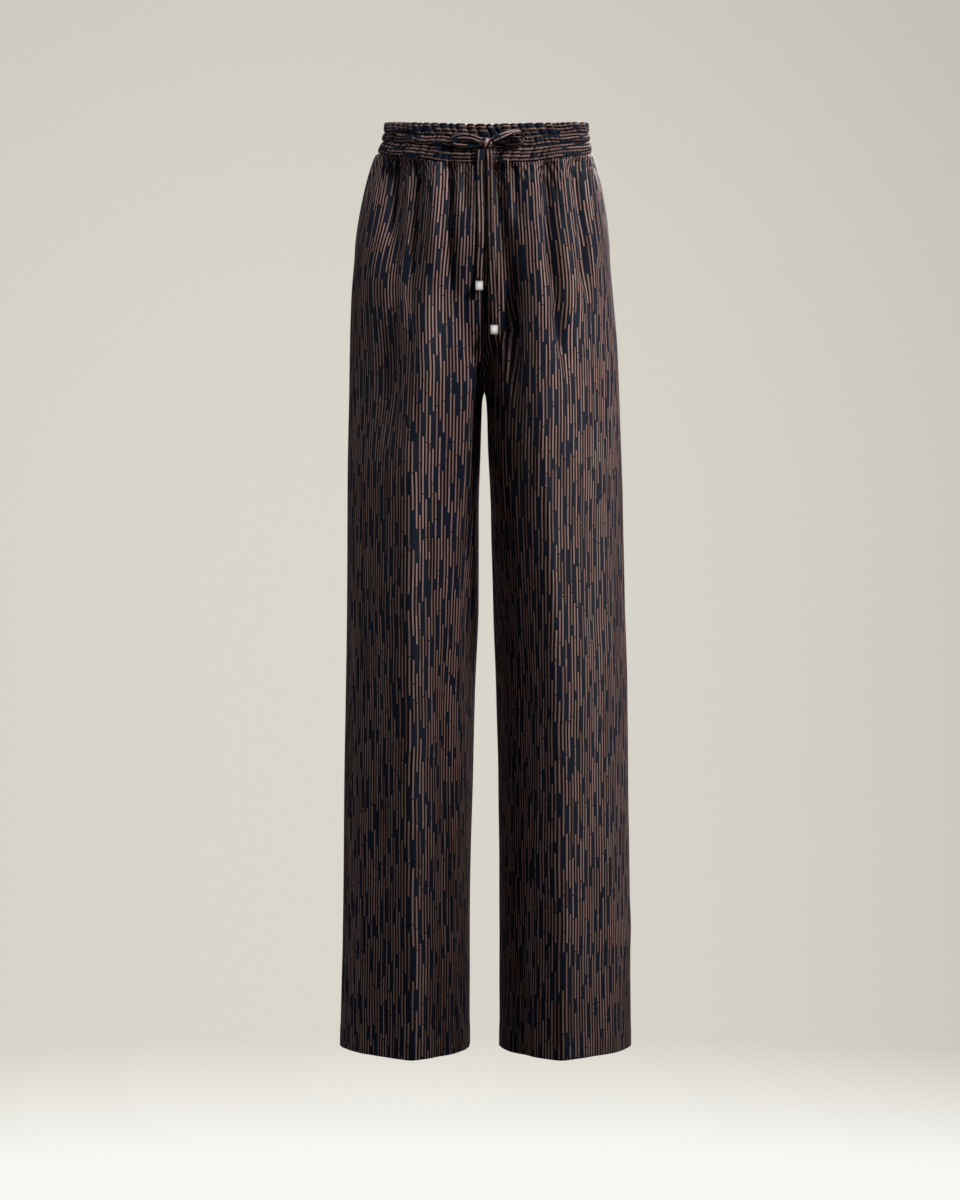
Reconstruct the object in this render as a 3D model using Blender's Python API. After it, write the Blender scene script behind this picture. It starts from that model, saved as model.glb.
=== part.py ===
"""Palazzo pants: high-waisted, wide-legged trousers with a shirred drawstring waistband.

The cloth hangs open and filled out, as when worn, with no wearer.  Lengths are in
millimetres until a mesh is made.  +Z is up and the front faces -Y.  The origin is the
centre of the waist ring at half the waistband's height at its sides.

Each cloth piece is worked out in one quarter of the garment: `x` runs out from the
centre to the side, `depth` runs from the side seams' plane to the front or the back,
and `share` runs from the side seam (0) to the centre seam and the inseam (1).
"""
import math
from collections import namedtuple

import bmesh
import bpy
import numpy as np

MM = 0.001

# Driving sizes, in millimetres.
HEM_HEIGHT = -1085.0
FIRST_LEVEL = -120.0          # above this a panel's rows rise to the slanted waist seam
CURVE_TOP = -212.0            # below this the rows close up toward the crotch
ROWS_NEAR_SEAM = (0.0, 0.09, 0.22, 0.38, 0.57, 0.78)
FRONT_COLUMNS = 23
BACK_COLUMNS = 19
CROTCH_HEIGHT = -303.0
LEGS_APART_TOP = -110.0       # sections start to turn from torso to legs
CLEFT_EDGE = 0.5              # share beyond which the crotch seam's own curve shapes
CLEFT_NARROWING = 0.42        # them, and how much nearer the seam that is at the crotch
TURN_FILL = 0.08              # keeps the depth while torso turns to legs
WALL = 1.6
SEAM_GAP = 0.3
LAYER_GAP = 0.6               # between a panel and the facing under its edge
TORSO_ROUNDNESS = 2.35        # superellipse powers of the sections
LEG_ROUNDNESS = 1.64

# Waistband: the ring is tilted, lower at the front than at the back.
RIM_AT_SIDE = 19.0
RIM_SLOPE = 0.15
RIM_BEND = -0.0005
SEAM_AT_SIDE = -16.0
SEAM_SLOPE = 0.158
SEAM_BEND = -0.00155
WAIST_DEPTH = 97.0
BAND_WALL = 1.5
BAND_BACKING = 2.6            # from the outline in to the wall, under the gathers' valleys
BAND_SWELL = 2.2              # how far the gathers stand off the outline
GATHERS_PER_HALF = 30
POINTS_PER_GATHER = 4

# Slash pocket: the mouth starts this share in from the side seam.
MOUTH_SHARE = 0.085
MOUTH_BOTTOM = -152.0
MOUTH_LIFT = 0.8
FACING_OVERLAP = 0.045
FACING_BOTTOM = -168.0
FACING_ROWS = 9
FACING_COLUMNS = 5

# Drawstring: a flat tube of the same cloth.
STRING_WIDTH = 9.0
STRING_THICKNESS = 1.8
STRING_SIDES = 8
TAIL_RINGS = 22
LOOP_RINGS = 24
KNOT_CENTRE = (2.7, -24.6)    # x and height
KNOT_SIZE = (13.6, 8.4, 11.6)
KNOT_STAND_OFF = 1.6          # the strands that pass behind the knot
TIP_SIZE = (9.0, 4.4, 11.0)
TIP_GAP = 0.7                 # below the lowest point of the tail's slightly tilted end

# Half widths of the outline and of the gap between the legs, on the wearer's right
# and left.
Outline = namedtuple("Outline", "height outer_right outer_left")
OUTLINE = [
    Outline(30, 118.0, 123.5),
    Outline(10, 119.5, 124.5),
    Outline(-5, 122.5, 126.0),
    Outline(-16, 127.0, 128.0),
    Outline(-36, 135.0, 133.5),
    Outline(-65, 143.2, 141.0),
    Outline(-108, 151.5, 147.0),
    Outline(-151, 156.6, 151.0),
    Outline(-195, 160.0, 155.0),
    Outline(-252, 161.6, 160.0),
    Outline(-310, 162.6, 162.0),
    Outline(-408, 164.6, 165.0),
    Outline(-552, 165.2, 168.0),
    Outline(-660, 166.5, 171.3),
    Outline(-768, 168.6, 172.5),
    Outline(-912, 170.0, 174.6),
    Outline(-1085, 173.5, 176.0),
]
Inseam = namedtuple("Inseam", "height inner_right inner_left")
INSEAM = [
    Inseam(CROTCH_HEIGHT, 0.0, 0.0),
    Inseam(-313, 2.4, 2.0),
    Inseam(-372, 4.4, 4.4),
    Inseam(-444, 6.6, 7.8),
    Inseam(-552, 6.8, 10.4),
    Inseam(-660, 11.2, 13.8),
    Inseam(-768, 13.8, 16.2),
    Inseam(-912, 17.2, 17.6),
    Inseam(-1085, 17.6, 17.6),
]
# How far the cloth stands in front of and behind the side seams.
Depth = namedtuple("Depth", "height front back")
DEPTHS = [
    Depth(30, 94.0, 95.0),
    Depth(-16, 97.0, 98.0),
    Depth(-60, 102.5, 108.0),
    Depth(-110, 107.0, 120.0),
    Depth(-180, 110.0, 133.0),
    Depth(-235, 111.0, 136.0),
    Depth(-316, 110.0, 129.0),
    Depth(-450, 107.0, 117.0),
    Depth(-700, 103.0, 107.0),
    Depth(-1085, 99.0, 103.0),
]
# The soft ridge down each leg: its distance from the centre, front and back.
Ridge = namedtuple("Ridge", "height front_right front_left back")
RIDGES = [
    Ridge(-120, 80.0, 46.0, 82.0),
    Ridge(-216, 69.0, 52.0, 83.0),
    Ridge(-345, 74.0, 66.0, 86.0),
    Ridge(-430, 82.0, 71.0, 88.0),
    Ridge(-530, 86.0, 76.0, 90.0),
    Ridge(-680, 85.5, 88.0, 92.0),
    Ridge(-840, 83.0, 87.5, 94.0),
    Ridge(-1085, 83.0, 89.0, 95.0),
]

# Gather folds and long soft folds.  The x columns are distances from the centre at the
# fold's top, middle and bottom; depth is negative for a trough and positive for a
# ridge; inward and outward are its half widths toward the centre and the side.
Fold = namedtuple("Fold", "top middle bottom x_top x_middle x_bottom depth inward outward")
FOLDS = {
    ("right", "front"): [
        Fold(-30, -140, -330, 76, 82, 88, -10.5, 8, 14),
        Fold(-40, -180, -430, 104, 109, 114, -14.0, 22, 28),
        Fold(-32, -120, -240, 41, 42, 36, -10.5, 7, 8),
        Fold(-34, -70, -120, 24, 24, 23, -6.5, 5.5, 6),
        Fold(-24, -80, -150, 106, 113, 119, -6.0, 7, 8),
        Fold(-36, -90, -200, 57, 58, 60, 3.5, 8, 8),
        Fold(-30, -90, -190, 91, 92, 97, 3.5, 8, 8),
        Fold(-330, -700, -1100, 122, 128, 132, -2.5, 22, 20),
        Fold(-560, -860, -1100, 44, 47, 50, -5.0, 15, 16),
        Fold(-230, -560, -1100, 82, 87, 84, 5.0, 10, 13),
    ],
    ("left", "front"): [
        Fold(-30, -160, -370, 11, 21, 38, -17.0, 9, 15),
        Fold(-32, -75, -130, 33, 36, 40, -6.5, 5, 6),
        Fold(-30, -150, -330, 72, 76, 100, -13.5, 7, 10),
        Fold(-24, -90, -230, 107, 115, 124, -11.5, 8, 9),
        Fold(-130, -190, -250, 116, 121, 126, -2.0, 7, 9),
        Fold(-34, -90, -190, 58, 60, 64, 4.0, 10, 10),
        Fold(-340, -700, -1100, 128, 130, 134, -3.0, 22, 20),
        Fold(-420, -760, -1100, 48, 46, 44, -3.5, 14, 18),
        Fold(-240, -560, -1100, 56, 80, 89, 5.5, 11, 12),
    ],
    ("right", "back"): [
        Fold(-22, -120, -240, 20, 22, 27, -6.0, 8, 9),
        Fold(-20, -90, -170, 43, 46, 50, -6.5, 8, 9),
        Fold(-18, -110, -215, 69, 73, 80, -7.0, 9, 9),
        Fold(-16, -85, -150, 92, 98, 106, -5.0, 8, 8),
        Fold(-240, -600, -1100, 86, 90, 95, 5.0, 16, 18),
        Fold(-380, -640, -900, 124, 128, 132, -3.5, 20, 22),
        Fold(-520, -860, -1100, 46, 44, 46, -3.0, 18, 18),
    ],
    ("left", "back"): [
        Fold(-22, -105, -205, 27, 29, 34, -6.5, 9, 9),
        Fold(-20, -115, -225, 52, 56, 63, -6.5, 9, 8),
        Fold(-18, -90, -165, 78, 83, 90, -6.0, 8, 9),
        Fold(-16, -75, -135, 100, 106, 113, -5.0, 8, 8),
        Fold(-250, -600, -1100, 88, 92, 96, 5.0, 16, 18),
        Fold(-420, -720, -980, 122, 126, 128, -3.5, 22, 20),
        Fold(-340, -700, -1100, 44, 46, 48, -3.5, 18, 18),
    ],
}
CENTRE_TROUGH = 4.2
CENTRE_TROUGH_WIDTH = 9.0
CENTRE_TROUGH_TOP = -46.0
FOLD_SHARPNESS = 1.6
FOLD_START = 5.0
FOLD_RISE = 30.0
SIDE_CALM = 16.0              # no fold within this of the side seam
INSEAM_CALM = 0.18            # nor within this share of the inseam

# Waistband profile from the rim down: share of the height, how far it stands off the
# outline, and the gathers' height there.
BandRow = namedtuple("BandRow", "share stand_off gather slant")
BAND_ROWS = [
    BandRow(0.00, 0.2, 1.3, 0.0),
    BandRow(0.16, 0.0, 1.2, 0.9),
    BandRow(0.31, -2.0, 0.4, 1.9),
    BandRow(0.45, 0.9, 0.9, 2.5),
    BandRow(0.59, -1.8, 0.4, 3.1),
    BandRow(0.80, 1.3, 1.1, 4.0),
    BandRow(1.00, -1.4, 0.5, 4.6),
]

# Drawstring routes: x, height, stand-off from the cloth and roll about the string's own
# line in degrees.
StringPoint = namedtuple("StringPoint", "x height stand_off roll")
TAIL_ROUTES = {
    "right": [
        StringPoint(-4.8, -31.2, 3.6, 0),
        StringPoint(-5.0, -40.0, 2.7, 4),
        StringPoint(-4.9, -54.0, 2.4, 8),
        StringPoint(-4.5, -78.0, 2.2, 2),
        StringPoint(-4.3, -104.0, 2.2, -6),
        StringPoint(-4.7, -132.0, 2.4, -3),
        StringPoint(-5.4, -158.0, 2.7, 4),
        StringPoint(-6.1, -176.0, 3.0, 2),
        StringPoint(-6.3, -181.5, 3.0, 0),
    ],
    "left": [
        StringPoint(5.2, -31.2, 3.6, 0),
        StringPoint(5.6, -42.0, 2.7, -5),
        StringPoint(5.8, -58.0, 2.4, -8),
        StringPoint(6.2, -86.0, 2.2, 2),
        StringPoint(6.8, -116.0, 2.3, 7),
        StringPoint(7.8, -148.0, 2.5, 2),
        StringPoint(9.4, -184.0, 2.8, -6),
        StringPoint(10.8, -216.0, 3.0, -2),
        StringPoint(11.2, -230.4, 3.0, 0),
    ],
}
LOOP_ROUTES = {
    "right": [
        StringPoint(-4.8, -20.6, 5.0, 0),
        StringPoint(-13.0, -17.4, 6.0, 6),
        StringPoint(-22.0, -15.8, 6.6, 4),
        StringPoint(-30.5, -16.0, 6.2, 0),
        StringPoint(-35.2, -17.8, 5.2, 0),
        StringPoint(-37.0, -20.0, 4.1, 0),
        StringPoint(-34.6, -22.4, 3.0, 0),
        StringPoint(-27.0, -23.8, 2.4, 0),
        StringPoint(-15.0, -24.0, 2.3, 0),
        StringPoint(-4.8, -23.6, 2.4, 0),
    ],
    "left": [
        StringPoint(10.2, -19.4, 5.2, 0),
        StringPoint(17.0, -16.6, 6.4, -8),
        StringPoint(26.0, -12.8, 7.4, -30),
        StringPoint(35.0, -9.8, 8.2, -55),
        StringPoint(42.0, -11.0, 8.2, -74),
        StringPoint(44.8, -16.6, 7.6, -84),
        StringPoint(42.0, -23.4, 6.6, -78),
        StringPoint(33.0, -26.4, 5.2, -62),
        StringPoint(21.5, -26.6, 4.0, -48),
        StringPoint(10.2, -25.0, 2.9, -20),
    ],
}

SIDES = {"right": -1.0, "left": 1.0}
FACES = {"front": -1.0, "back": 1.0}


def clear_scene():
    """Remove every object that the file opened with."""
    for item in list(bpy.data.objects):
        bpy.data.objects.remove(item, do_unlink=True)


def fabric(name, colour, roughness, metallic=0.0):
    """Make a plain Principled material."""
    material = bpy.data.materials.new(name)
    material.use_nodes = True
    shader = material.node_tree.nodes["Principled BSDF"]
    shader.inputs["Base Color"].default_value = (*colour, 1.0)
    shader.inputs["Roughness"].default_value = roughness
    shader.inputs["Metallic"].default_value = metallic
    material.diffuse_color = (*colour, 1.0)
    return material


def smooth_step(value):
    """Ease from 0 to 1 over the range 0 to 1."""
    t = np.clip(value, 0.0, 1.0)
    return t * t * (3.0 - 2.0 * t)


def read_table(table, column, height):
    """Value of a column at a height, on a smooth curve that never overshoots the rows."""
    rows = sorted(table, key=lambda row: row.height)
    z = np.array([row.height for row in rows], dtype=float)
    value = np.array([getattr(row, column) for row in rows], dtype=float)
    slope = np.diff(value) / np.diff(z)
    product = slope[:-1] * slope[1:]
    total = slope[:-1] + slope[1:]
    safe_total = np.where(total == 0.0, 1.0, total)
    inner = np.where(product > 0.0, 2.0 * product / safe_total, 0.0)
    tangent = np.concatenate(([slope[0]], inner, [slope[-1]]))
    h = np.clip(height, z[0], z[-1])
    i = np.clip(np.searchsorted(z, h) - 1, 0, len(z) - 2)
    step = z[i + 1] - z[i]
    t = (h - z[i]) / step
    return ((2 * t**3 - 3 * t**2 + 1) * value[i] + (t**3 - 2 * t**2 + t) * step * tangent[i]
            + (3 * t**2 - 2 * t**3) * value[i + 1] + (t**3 - t**2) * step * tangent[i + 1])


def superellipse(angle, half_width, half_depth, roundness):
    """A point on a superellipse, by its angle from the x axis."""
    c = np.cos(angle)
    s = np.sin(angle)
    reach = (np.abs(c) ** roundness + np.abs(s) ** roundness) ** (-1.0 / roundness)
    return half_width * c * reach, half_depth * s * reach


def section(side, face, share, height):
    """The calm section of one quarter, before any fold: x and depth."""
    outer = read_table(OUTLINE, "outer_" + side, height)
    depth = read_table(DEPTHS, face, height)
    torso_x, torso_depth = superellipse(share * math.pi / 2, outer, depth, TORSO_ROUNDNESS)

    inner = read_table(INSEAM, "inner_" + side, height)
    ridge = read_table(RIDGES, "front_" + side if face == "front" else "back", height)
    middle = (outer + inner) / 2
    leg_x, leg_depth = superellipse(share * math.pi, 1.0, depth, LEG_ROUNDNESS)
    leg_x = middle + (outer - inner) / 2 * leg_x + (ridge - middle) * (1.0 - leg_x**2)

    down = np.clip((LEGS_APART_TOP - height) / (LEGS_APART_TOP - CROTCH_HEIGHT), 0.0, 1.0)
    at_side = smooth_step(down)
    at_centre = 1.0 - (1.0 - down**1.8) ** 0.8
    cleft_edge = CLEFT_EDGE + CLEFT_NARROWING * down**2
    near_centre = smooth_step((share - cleft_edge) / (1.0 - cleft_edge))
    leg_part = at_side + (at_centre - at_side) * near_centre
    fill = 1.0 + TURN_FILL * 4.0 * at_side * (1.0 - at_side) * (1.0 - near_centre)
    return (torso_x + (leg_x - torso_x) * leg_part,
            (torso_depth + (leg_depth - torso_depth) * leg_part) * fill)


def seam_height(side, face, share):
    """Height of the seam between waistband and panels."""
    y = FACES[face] * WAIST_DEPTH * np.sin(share * math.pi / 2)
    return SEAM_AT_SIDE + SEAM_SLOPE * y + SEAM_BEND * y**2


def rim_height(side, face, share):
    """Height of the waistband's upper edge."""
    y = FACES[face] * WAIST_DEPTH * np.sin(share * math.pi / 2)
    return RIM_AT_SIDE + RIM_SLOPE * y + RIM_BEND * y**2


def fold_offset(side, face, share, height, x, run):
    """How far the folds push the cloth out along the section's normal.

    run is how fast x changes along the section, so that a fold keeps its width
    where the section turns away from the x axis.
    """
    offset = np.zeros_like(x)
    below_seam = seam_height(side, face, share) - height
    for fold in FOLDS[(side, face)]:
        upper = (height - fold.middle) / (fold.top - fold.middle)
        lower = (fold.middle - height) / (fold.middle - fold.bottom)
        line = np.where(height > fold.middle,
                        fold.x_middle + (fold.x_top - fold.x_middle) * np.clip(upper, 0, 1),
                        fold.x_middle + (fold.x_bottom - fold.x_middle) * np.clip(lower, 0, 1))
        away = (x - line) / run
        width = np.where(away > 0.0, fold.outward, fold.inward)
        reach = smooth_step((1.0 - np.clip(lower, 0, 1)) / 0.45)
        if fold.top < LEGS_APART_TOP:
            reach = smooth_step((fold.top - height) / (0.3 * (fold.top - fold.bottom)))
        if fold.bottom > HEM_HEIGHT:
            reach = reach * smooth_step((height - fold.bottom) / (0.4 * (fold.top - fold.bottom)))
        offset = offset + fold.depth * reach * np.exp(-np.abs(away / width) ** FOLD_SHARPNESS)
    from_centre = x / CENTRE_TROUGH_WIDTH
    trough = smooth_step((CENTRE_TROUGH_TOP - height) / 30.0)
    trough = trough * smooth_step((height - CROTCH_HEIGHT) / 90.0)
    offset = offset - CENTRE_TROUGH * trough * np.exp(-(from_centre**2))
    started = smooth_step(below_seam / FOLD_START)
    return offset * started * (0.8 + 0.2 * smooth_step(below_seam / FOLD_RISE))


def quarter_point(side, face, share, height):
    """The cloth's outer surface in its quarter: x and depth, folds included."""
    step = 1e-4
    x, depth = section(side, face, share, height)
    x_next, depth_next = section(side, face, share + step, height)
    dx = x_next - x
    dd = depth_next - depth
    length = np.sqrt(dx**2 + dd**2)
    run = np.maximum(np.abs(dx) / length, 0.3)
    offset = fold_offset(side, face, share, height, x, run)
    offset = offset * smooth_step(depth / SIDE_CALM)
    near_inseam = smooth_step((share - 1.0 + INSEAM_CALM) / INSEAM_CALM)
    parted = smooth_step((LEGS_APART_TOP - height) / (LEGS_APART_TOP - CURVE_TOP))
    offset = offset * (1.0 - near_inseam * parted)
    return x + dd / length * offset, depth - dx / length * offset


def cloth_point(side, face, share, height, inset=0.0):
    """A point `inset` under the cloth's outer surface, as world x, y and height."""
    step = 2e-3
    rise = 0.4
    x, depth = quarter_point(side, face, share, height)
    x_a, depth_a = quarter_point(side, face, share - step, height)
    x_b, depth_b = quarter_point(side, face, share + step, height)
    x_up, depth_up = quarter_point(side, face, share, height + rise)
    along = np.stack([x_b - x_a, depth_b - depth_a, np.zeros_like(x)], axis=-1)
    upward = np.stack([x_up - x, depth_up - depth, np.full_like(x, rise)], axis=-1)
    normal = np.cross(along, upward)
    level = np.hypot(normal[..., 0], normal[..., 1])
    steep = level / np.linalg.norm(normal, axis=-1)
    reach = inset / np.maximum(steep, 0.6)
    x = x - normal[..., 0] / level * reach
    depth = depth - normal[..., 1] / level * reach
    x = np.maximum(x, SEAM_GAP / 2)
    depth = np.maximum(depth, SEAM_GAP / 2)
    return np.stack([SIDES[side] * x, FACES[face] * depth, height + np.zeros_like(x)], axis=-1)


def object_from_grid(name, outer, inner, material):
    """Close two grids of points, a wall's outer and inner faces, into one solid.

    Both grids run down their rows and along their columns.
    """
    mesh = bmesh.new()
    grids = []
    for grid in (outer, inner):
        rows = [[mesh.verts.new(point * MM) for point in row] for row in grid]
        grids.append(rows)
    front, back = grids
    faces = []

    def quad(*corners):
        faces.append(corners)

    for i in range(len(front) - 1):
        for j in range(len(front[0]) - 1):
            quad(front[i][j], front[i + 1][j], front[i + 1][j + 1], front[i][j + 1])
    for i in range(len(back) - 1):
        for j in range(len(back[0]) - 1):
            quad(back[i][j], back[i][j + 1], back[i + 1][j + 1], back[i + 1][j])
    for j in range(len(front[0]) - 1):
        quad(front[0][j], front[0][j + 1], back[0][j + 1], back[0][j])
        quad(back[-1][j], back[-1][j + 1], front[-1][j + 1], front[-1][j])
    last = len(front[0]) - 1
    if len(front) == len(back):
        for i in range(len(front) - 1):
            quad(front[i][0], back[i][0], back[i + 1][0], front[i + 1][0])
            quad(back[i][last], front[i][last], front[i + 1][last], back[i + 1][last])
    else:
        first_end = [row[0] for row in front] + [back[-1][0], back[0][0]]
        last_end = [back[0][last], back[-1][last]] + [row[last] for row in reversed(front)]
        faces.append(tuple(reversed(first_end)))
        faces.append(tuple(reversed(last_end)))
    for corners in faces:
        mesh.faces.new(corners)
    bmesh.ops.triangulate(mesh, faces=mesh.faces[:])
    if mesh.calc_volume(signed=True) < 0.0:
        bmesh.ops.reverse_faces(mesh, faces=mesh.faces[:])
    data = bpy.data.meshes.new(name)
    mesh.to_mesh(data)
    mesh.free()
    data.shade_smooth()
    data.materials.append(material)
    item = bpy.data.objects.new(name, data)
    bpy.context.collection.objects.link(item)
    return item


def panel_heights():
    """Level rows of a panel, from its first level row to the hem."""
    upper = np.linspace(FIRST_LEVEL, CURVE_TOP, 5)[:-1]
    turns = np.linspace(0.0, math.pi / 2, 7)
    curve = CURVE_TOP + (CROTCH_HEIGHT - CURVE_TOP) * np.sin(turns)
    legs = np.array([-326.0, -350.0, -390.0, -450.0, -540.0, -650.0, -760.0, -870.0, -970.0,
                     -1040.0, HEM_HEIGHT])
    return np.concatenate([upper, curve, legs])


def mouth_share(height):
    """Where the front panel's slanted pocket edge lies."""
    top = SEAM_AT_SIDE
    return MOUTH_SHARE * np.clip((height - MOUTH_BOTTOM) / (top - MOUTH_BOTTOM), 0.0, 1.0)


def panel_grid(side, face, columns, inset):
    """Rows of points of one panel, at `inset` under its outer surface."""
    level = panel_heights()
    even = np.linspace(0.0, 1.0, columns)
    side_heights = [SEAM_AT_SIDE + (level[0] - SEAM_AT_SIDE) * k for k in ROWS_NEAR_SEAM]
    grid = []
    for side_height in side_heights + list(level):
        edge = mouth_share(side_height) if face == "front" else 0.0
        share = edge + (1.0 - edge) * even
        height = np.full(columns, side_height)
        if side_height > level[0]:
            top = seam_height(side, face, share) - SEAM_GAP / 2
            down = (SEAM_AT_SIDE - side_height) / (SEAM_AT_SIDE - level[0])
            height = top + (level[0] - top) * down
        points = cloth_point(side, face, share, height, inset)
        lift = MOUTH_LIFT * smooth_step(edge / MOUTH_SHARE * 4.0)
        points[..., 0] += SIDES[side] * lift * np.clip(1.0 - even * 10.0, 0.0, 1.0)
        grid.append(points)
    return grid


def make_panels(material):
    """The four panels, each from the waist seam to the hem."""
    for face, columns in (("front", FRONT_COLUMNS), ("back", BACK_COLUMNS)):
        for side in SIDES:
            outer = panel_grid(side, face, columns, 0.0)
            inner = panel_grid(side, face, columns, WALL)
            object_from_grid(f"{face}_{side}", outer, inner, material)


def make_pocket_facings(material):
    """The strips of cloth that show behind the slanted pocket mouths."""
    under = WALL + LAYER_GAP
    for side in SIDES:
        grids = []
        for inset in (under, under + WALL):
            grid = []
            for k in np.linspace(0.0, 1.0, FACING_ROWS):
                edge = mouth_share(SEAM_AT_SIDE + (FACING_BOTTOM - SEAM_AT_SIDE) * k)
                share = np.linspace(0.0, edge + FACING_OVERLAP, FACING_COLUMNS)
                top = seam_height(side, "front", share) - SEAM_GAP / 2
                height = top + (FACING_BOTTOM - top) * k
                grid.append(cloth_point(side, "front", share, height, inset))
            grids.append(grid)
        object_from_grid(f"pocket_facing_{side}", grids[0], grids[1], material)


def band_point(side, face, share, row_share, stand_off):
    """A point of the waistband, by its share of the height below the rim."""
    top = rim_height(side, face, share)
    bottom = seam_height(side, face, share) + SEAM_GAP / 2
    height = top + (bottom - top) * row_share
    x, depth = section(side, face, share, height)
    x_next, depth_next = section(side, face, share + 1e-4, height)
    length = np.hypot(x_next - x, depth_next - depth)
    x, depth = (x + (depth_next - depth) / length * stand_off,
                depth - (x_next - x) / length * stand_off)
    return np.stack([SIDES[side] * x, FACES[face] * depth, height], axis=-1)


def make_waistband(material):
    """Front and back halves of the shirred casing, a plain wall with gathers outside."""
    for face in FACES:
        count = GATHERS_PER_HALF * POINTS_PER_GATHER + 1
        along = np.linspace(-1.0, 1.0, count)
        outer = []
        for row in BAND_ROWS:
            uneven = 0.9 * np.sin(along * 9.0 + 1.3) + 0.6 * np.sin(along * 17.0)
            phase = (along + 1.0) * math.pi * GATHERS_PER_HALF + row.slant + uneven
            size = row.gather * (1.0 + 0.35 * np.sin(along * 23.0 + row.slant))
            outer.append(band_ring(face, along, row.share, row.stand_off + size * np.cos(phase)))
        backing = -BAND_WALL - BAND_BACKING
        inner = [band_ring(face, along, row_share, backing) for row_share in (0.0, 1.0)]
        object_from_grid(f"waistband_{face}", outer, inner, material)


def band_ring(face, along, row_share, stand_off):
    """One row of a waistband half, from the wearer's right side to the left."""
    stand = stand_off + np.zeros_like(along)
    share = 1.0 - np.abs(along)
    right = band_point("right", face, share, row_share, stand)
    left = band_point("left", face, share, row_share, stand)
    mixed = np.where((along < 0.0)[:, None], right, left)
    middle = np.abs(along) < 1e-9
    mixed[middle] = (right[middle] + left[middle]) / 2
    ends = FACES[face] * mixed[:, 1]
    mixed[:, 1] = FACES[face] * np.maximum(ends, SEAM_GAP / 2)
    return mixed


def front_depth(x, height):
    """The front cloth's depth at a place near the centre, on the band or on a panel."""
    side = "right" if x < 0.0 else "left"
    share = np.linspace(0.3, 1.0, 141)
    level = np.full_like(share, height)
    if height > float(seam_height(side, "front", 1.0)):
        cloth_x, cloth_depth = section(side, "front", share, level)
        cloth_depth = cloth_depth + BAND_SWELL
    else:
        cloth_x, cloth_depth = quarter_point(side, "front", share, level)
    order = np.argsort(cloth_x)
    return np.interp(abs(x), cloth_x[order], cloth_depth[order])


def cloth_front(x, height):
    """The y that a string lies against: the foremost cloth under its width."""
    under = np.linspace(x - STRING_WIDTH / 2, x + STRING_WIDTH / 2, 7)
    return -max(front_depth(place, height) for place in under)


def curve_through(points, count):
    """Points on a smooth curve through the given ones (Catmull-Rom, even in length)."""
    points = np.array(points, dtype=float)
    padded = np.vstack([2 * points[0] - points[1], points, 2 * points[-1] - points[-2]])
    fine = []
    for i in range(1, len(padded) - 2):
        p0, p1, p2, p3 = padded[i - 1:i + 3]
        for t in np.linspace(0.0, 1.0, 12, endpoint=False):
            fine.append(0.5 * (2 * p1 + (p2 - p0) * t + (2 * p0 - 5 * p1 + 4 * p2 - p3) * t**2
                               + (3 * p1 - p0 - 3 * p2 + p3) * t**3))
    fine.append(points[-1])
    fine = np.array(fine)
    steps = np.linalg.norm(np.diff(fine[:, :3], axis=0), axis=1)
    length = np.concatenate([[0.0], np.cumsum(steps)])
    even = np.linspace(0.0, length[-1], count)
    return np.stack([np.interp(even, length, column) for column in fine.T], axis=-1)


def string_path(route, count):
    """World points of a drawstring route off the front cloth, and its roll at each."""
    points = [(p.x, cloth_front(p.x, p.height) - p.stand_off, p.height, p.roll) for p in route]
    path = curve_through(points, count)
    return path[:, :3], np.radians(path[:, 3])


def make_string(name, path, roll, flat_axis, material):
    """A flat string along a path; its width lies along flat_axis, rolled about the path."""
    mesh = bmesh.new()
    rings = []
    for i, centre in enumerate(path):
        ahead = path[min(i + 1, len(path) - 1)] - path[max(i - 1, 0)]
        ahead = ahead / np.linalg.norm(ahead)
        wide = flat_axis - ahead * np.dot(flat_axis, ahead)
        wide = wide / np.linalg.norm(wide)
        wide = wide * math.cos(roll[i]) + np.cross(ahead, wide) * math.sin(roll[i])
        thick = np.cross(ahead, wide)
        ring = []
        for k in range(STRING_SIDES):
            angle = 2 * math.pi * (k + 0.5) / STRING_SIDES
            across = np.sign(math.cos(angle)) * abs(math.cos(angle)) ** 0.6 * STRING_WIDTH / 2
            through = np.sign(math.sin(angle)) * abs(math.sin(angle)) ** 0.6 * STRING_THICKNESS / 2
            ring.append(mesh.verts.new((centre + wide * across + thick * through) * MM))
        rings.append(ring)
    for first, second in zip(rings, rings[1:]):
        for k in range(STRING_SIDES):
            following = (k + 1) % STRING_SIDES
            mesh.faces.new((first[k], first[following], second[following], second[k]))
    mesh.faces.new(rings[0][::-1])
    mesh.faces.new(rings[-1])
    bmesh.ops.triangulate(mesh, faces=mesh.faces[:])
    if mesh.calc_volume(signed=True) < 0.0:
        bmesh.ops.reverse_faces(mesh, faces=mesh.faces[:])
    data = bpy.data.meshes.new(name)
    mesh.to_mesh(data)
    mesh.free()
    data.shade_smooth()
    data.materials.append(material)
    item = bpy.data.objects.new(name, data)
    bpy.context.collection.objects.link(item)
    return item


def make_drawstring(cloth, metal):
    """The bow: knot, two loops, two hanging tails and their square metal tips."""
    for side in SIDES:
        tail, roll = string_path(TAIL_ROUTES[side], TAIL_RINGS)
        make_string(f"drawstring_tail_{side}", tail, roll, np.array([1.0, 0.0, 0.0]), cloth)
        make_tip(side, tail[-1], metal)
        loop, roll = string_path(LOOP_ROUTES[side], LOOP_RINGS)
        make_string(f"drawstring_loop_{side}", loop, roll, np.array([0.0, 0.0, 1.0]), cloth)
    make_knot(cloth)


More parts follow.
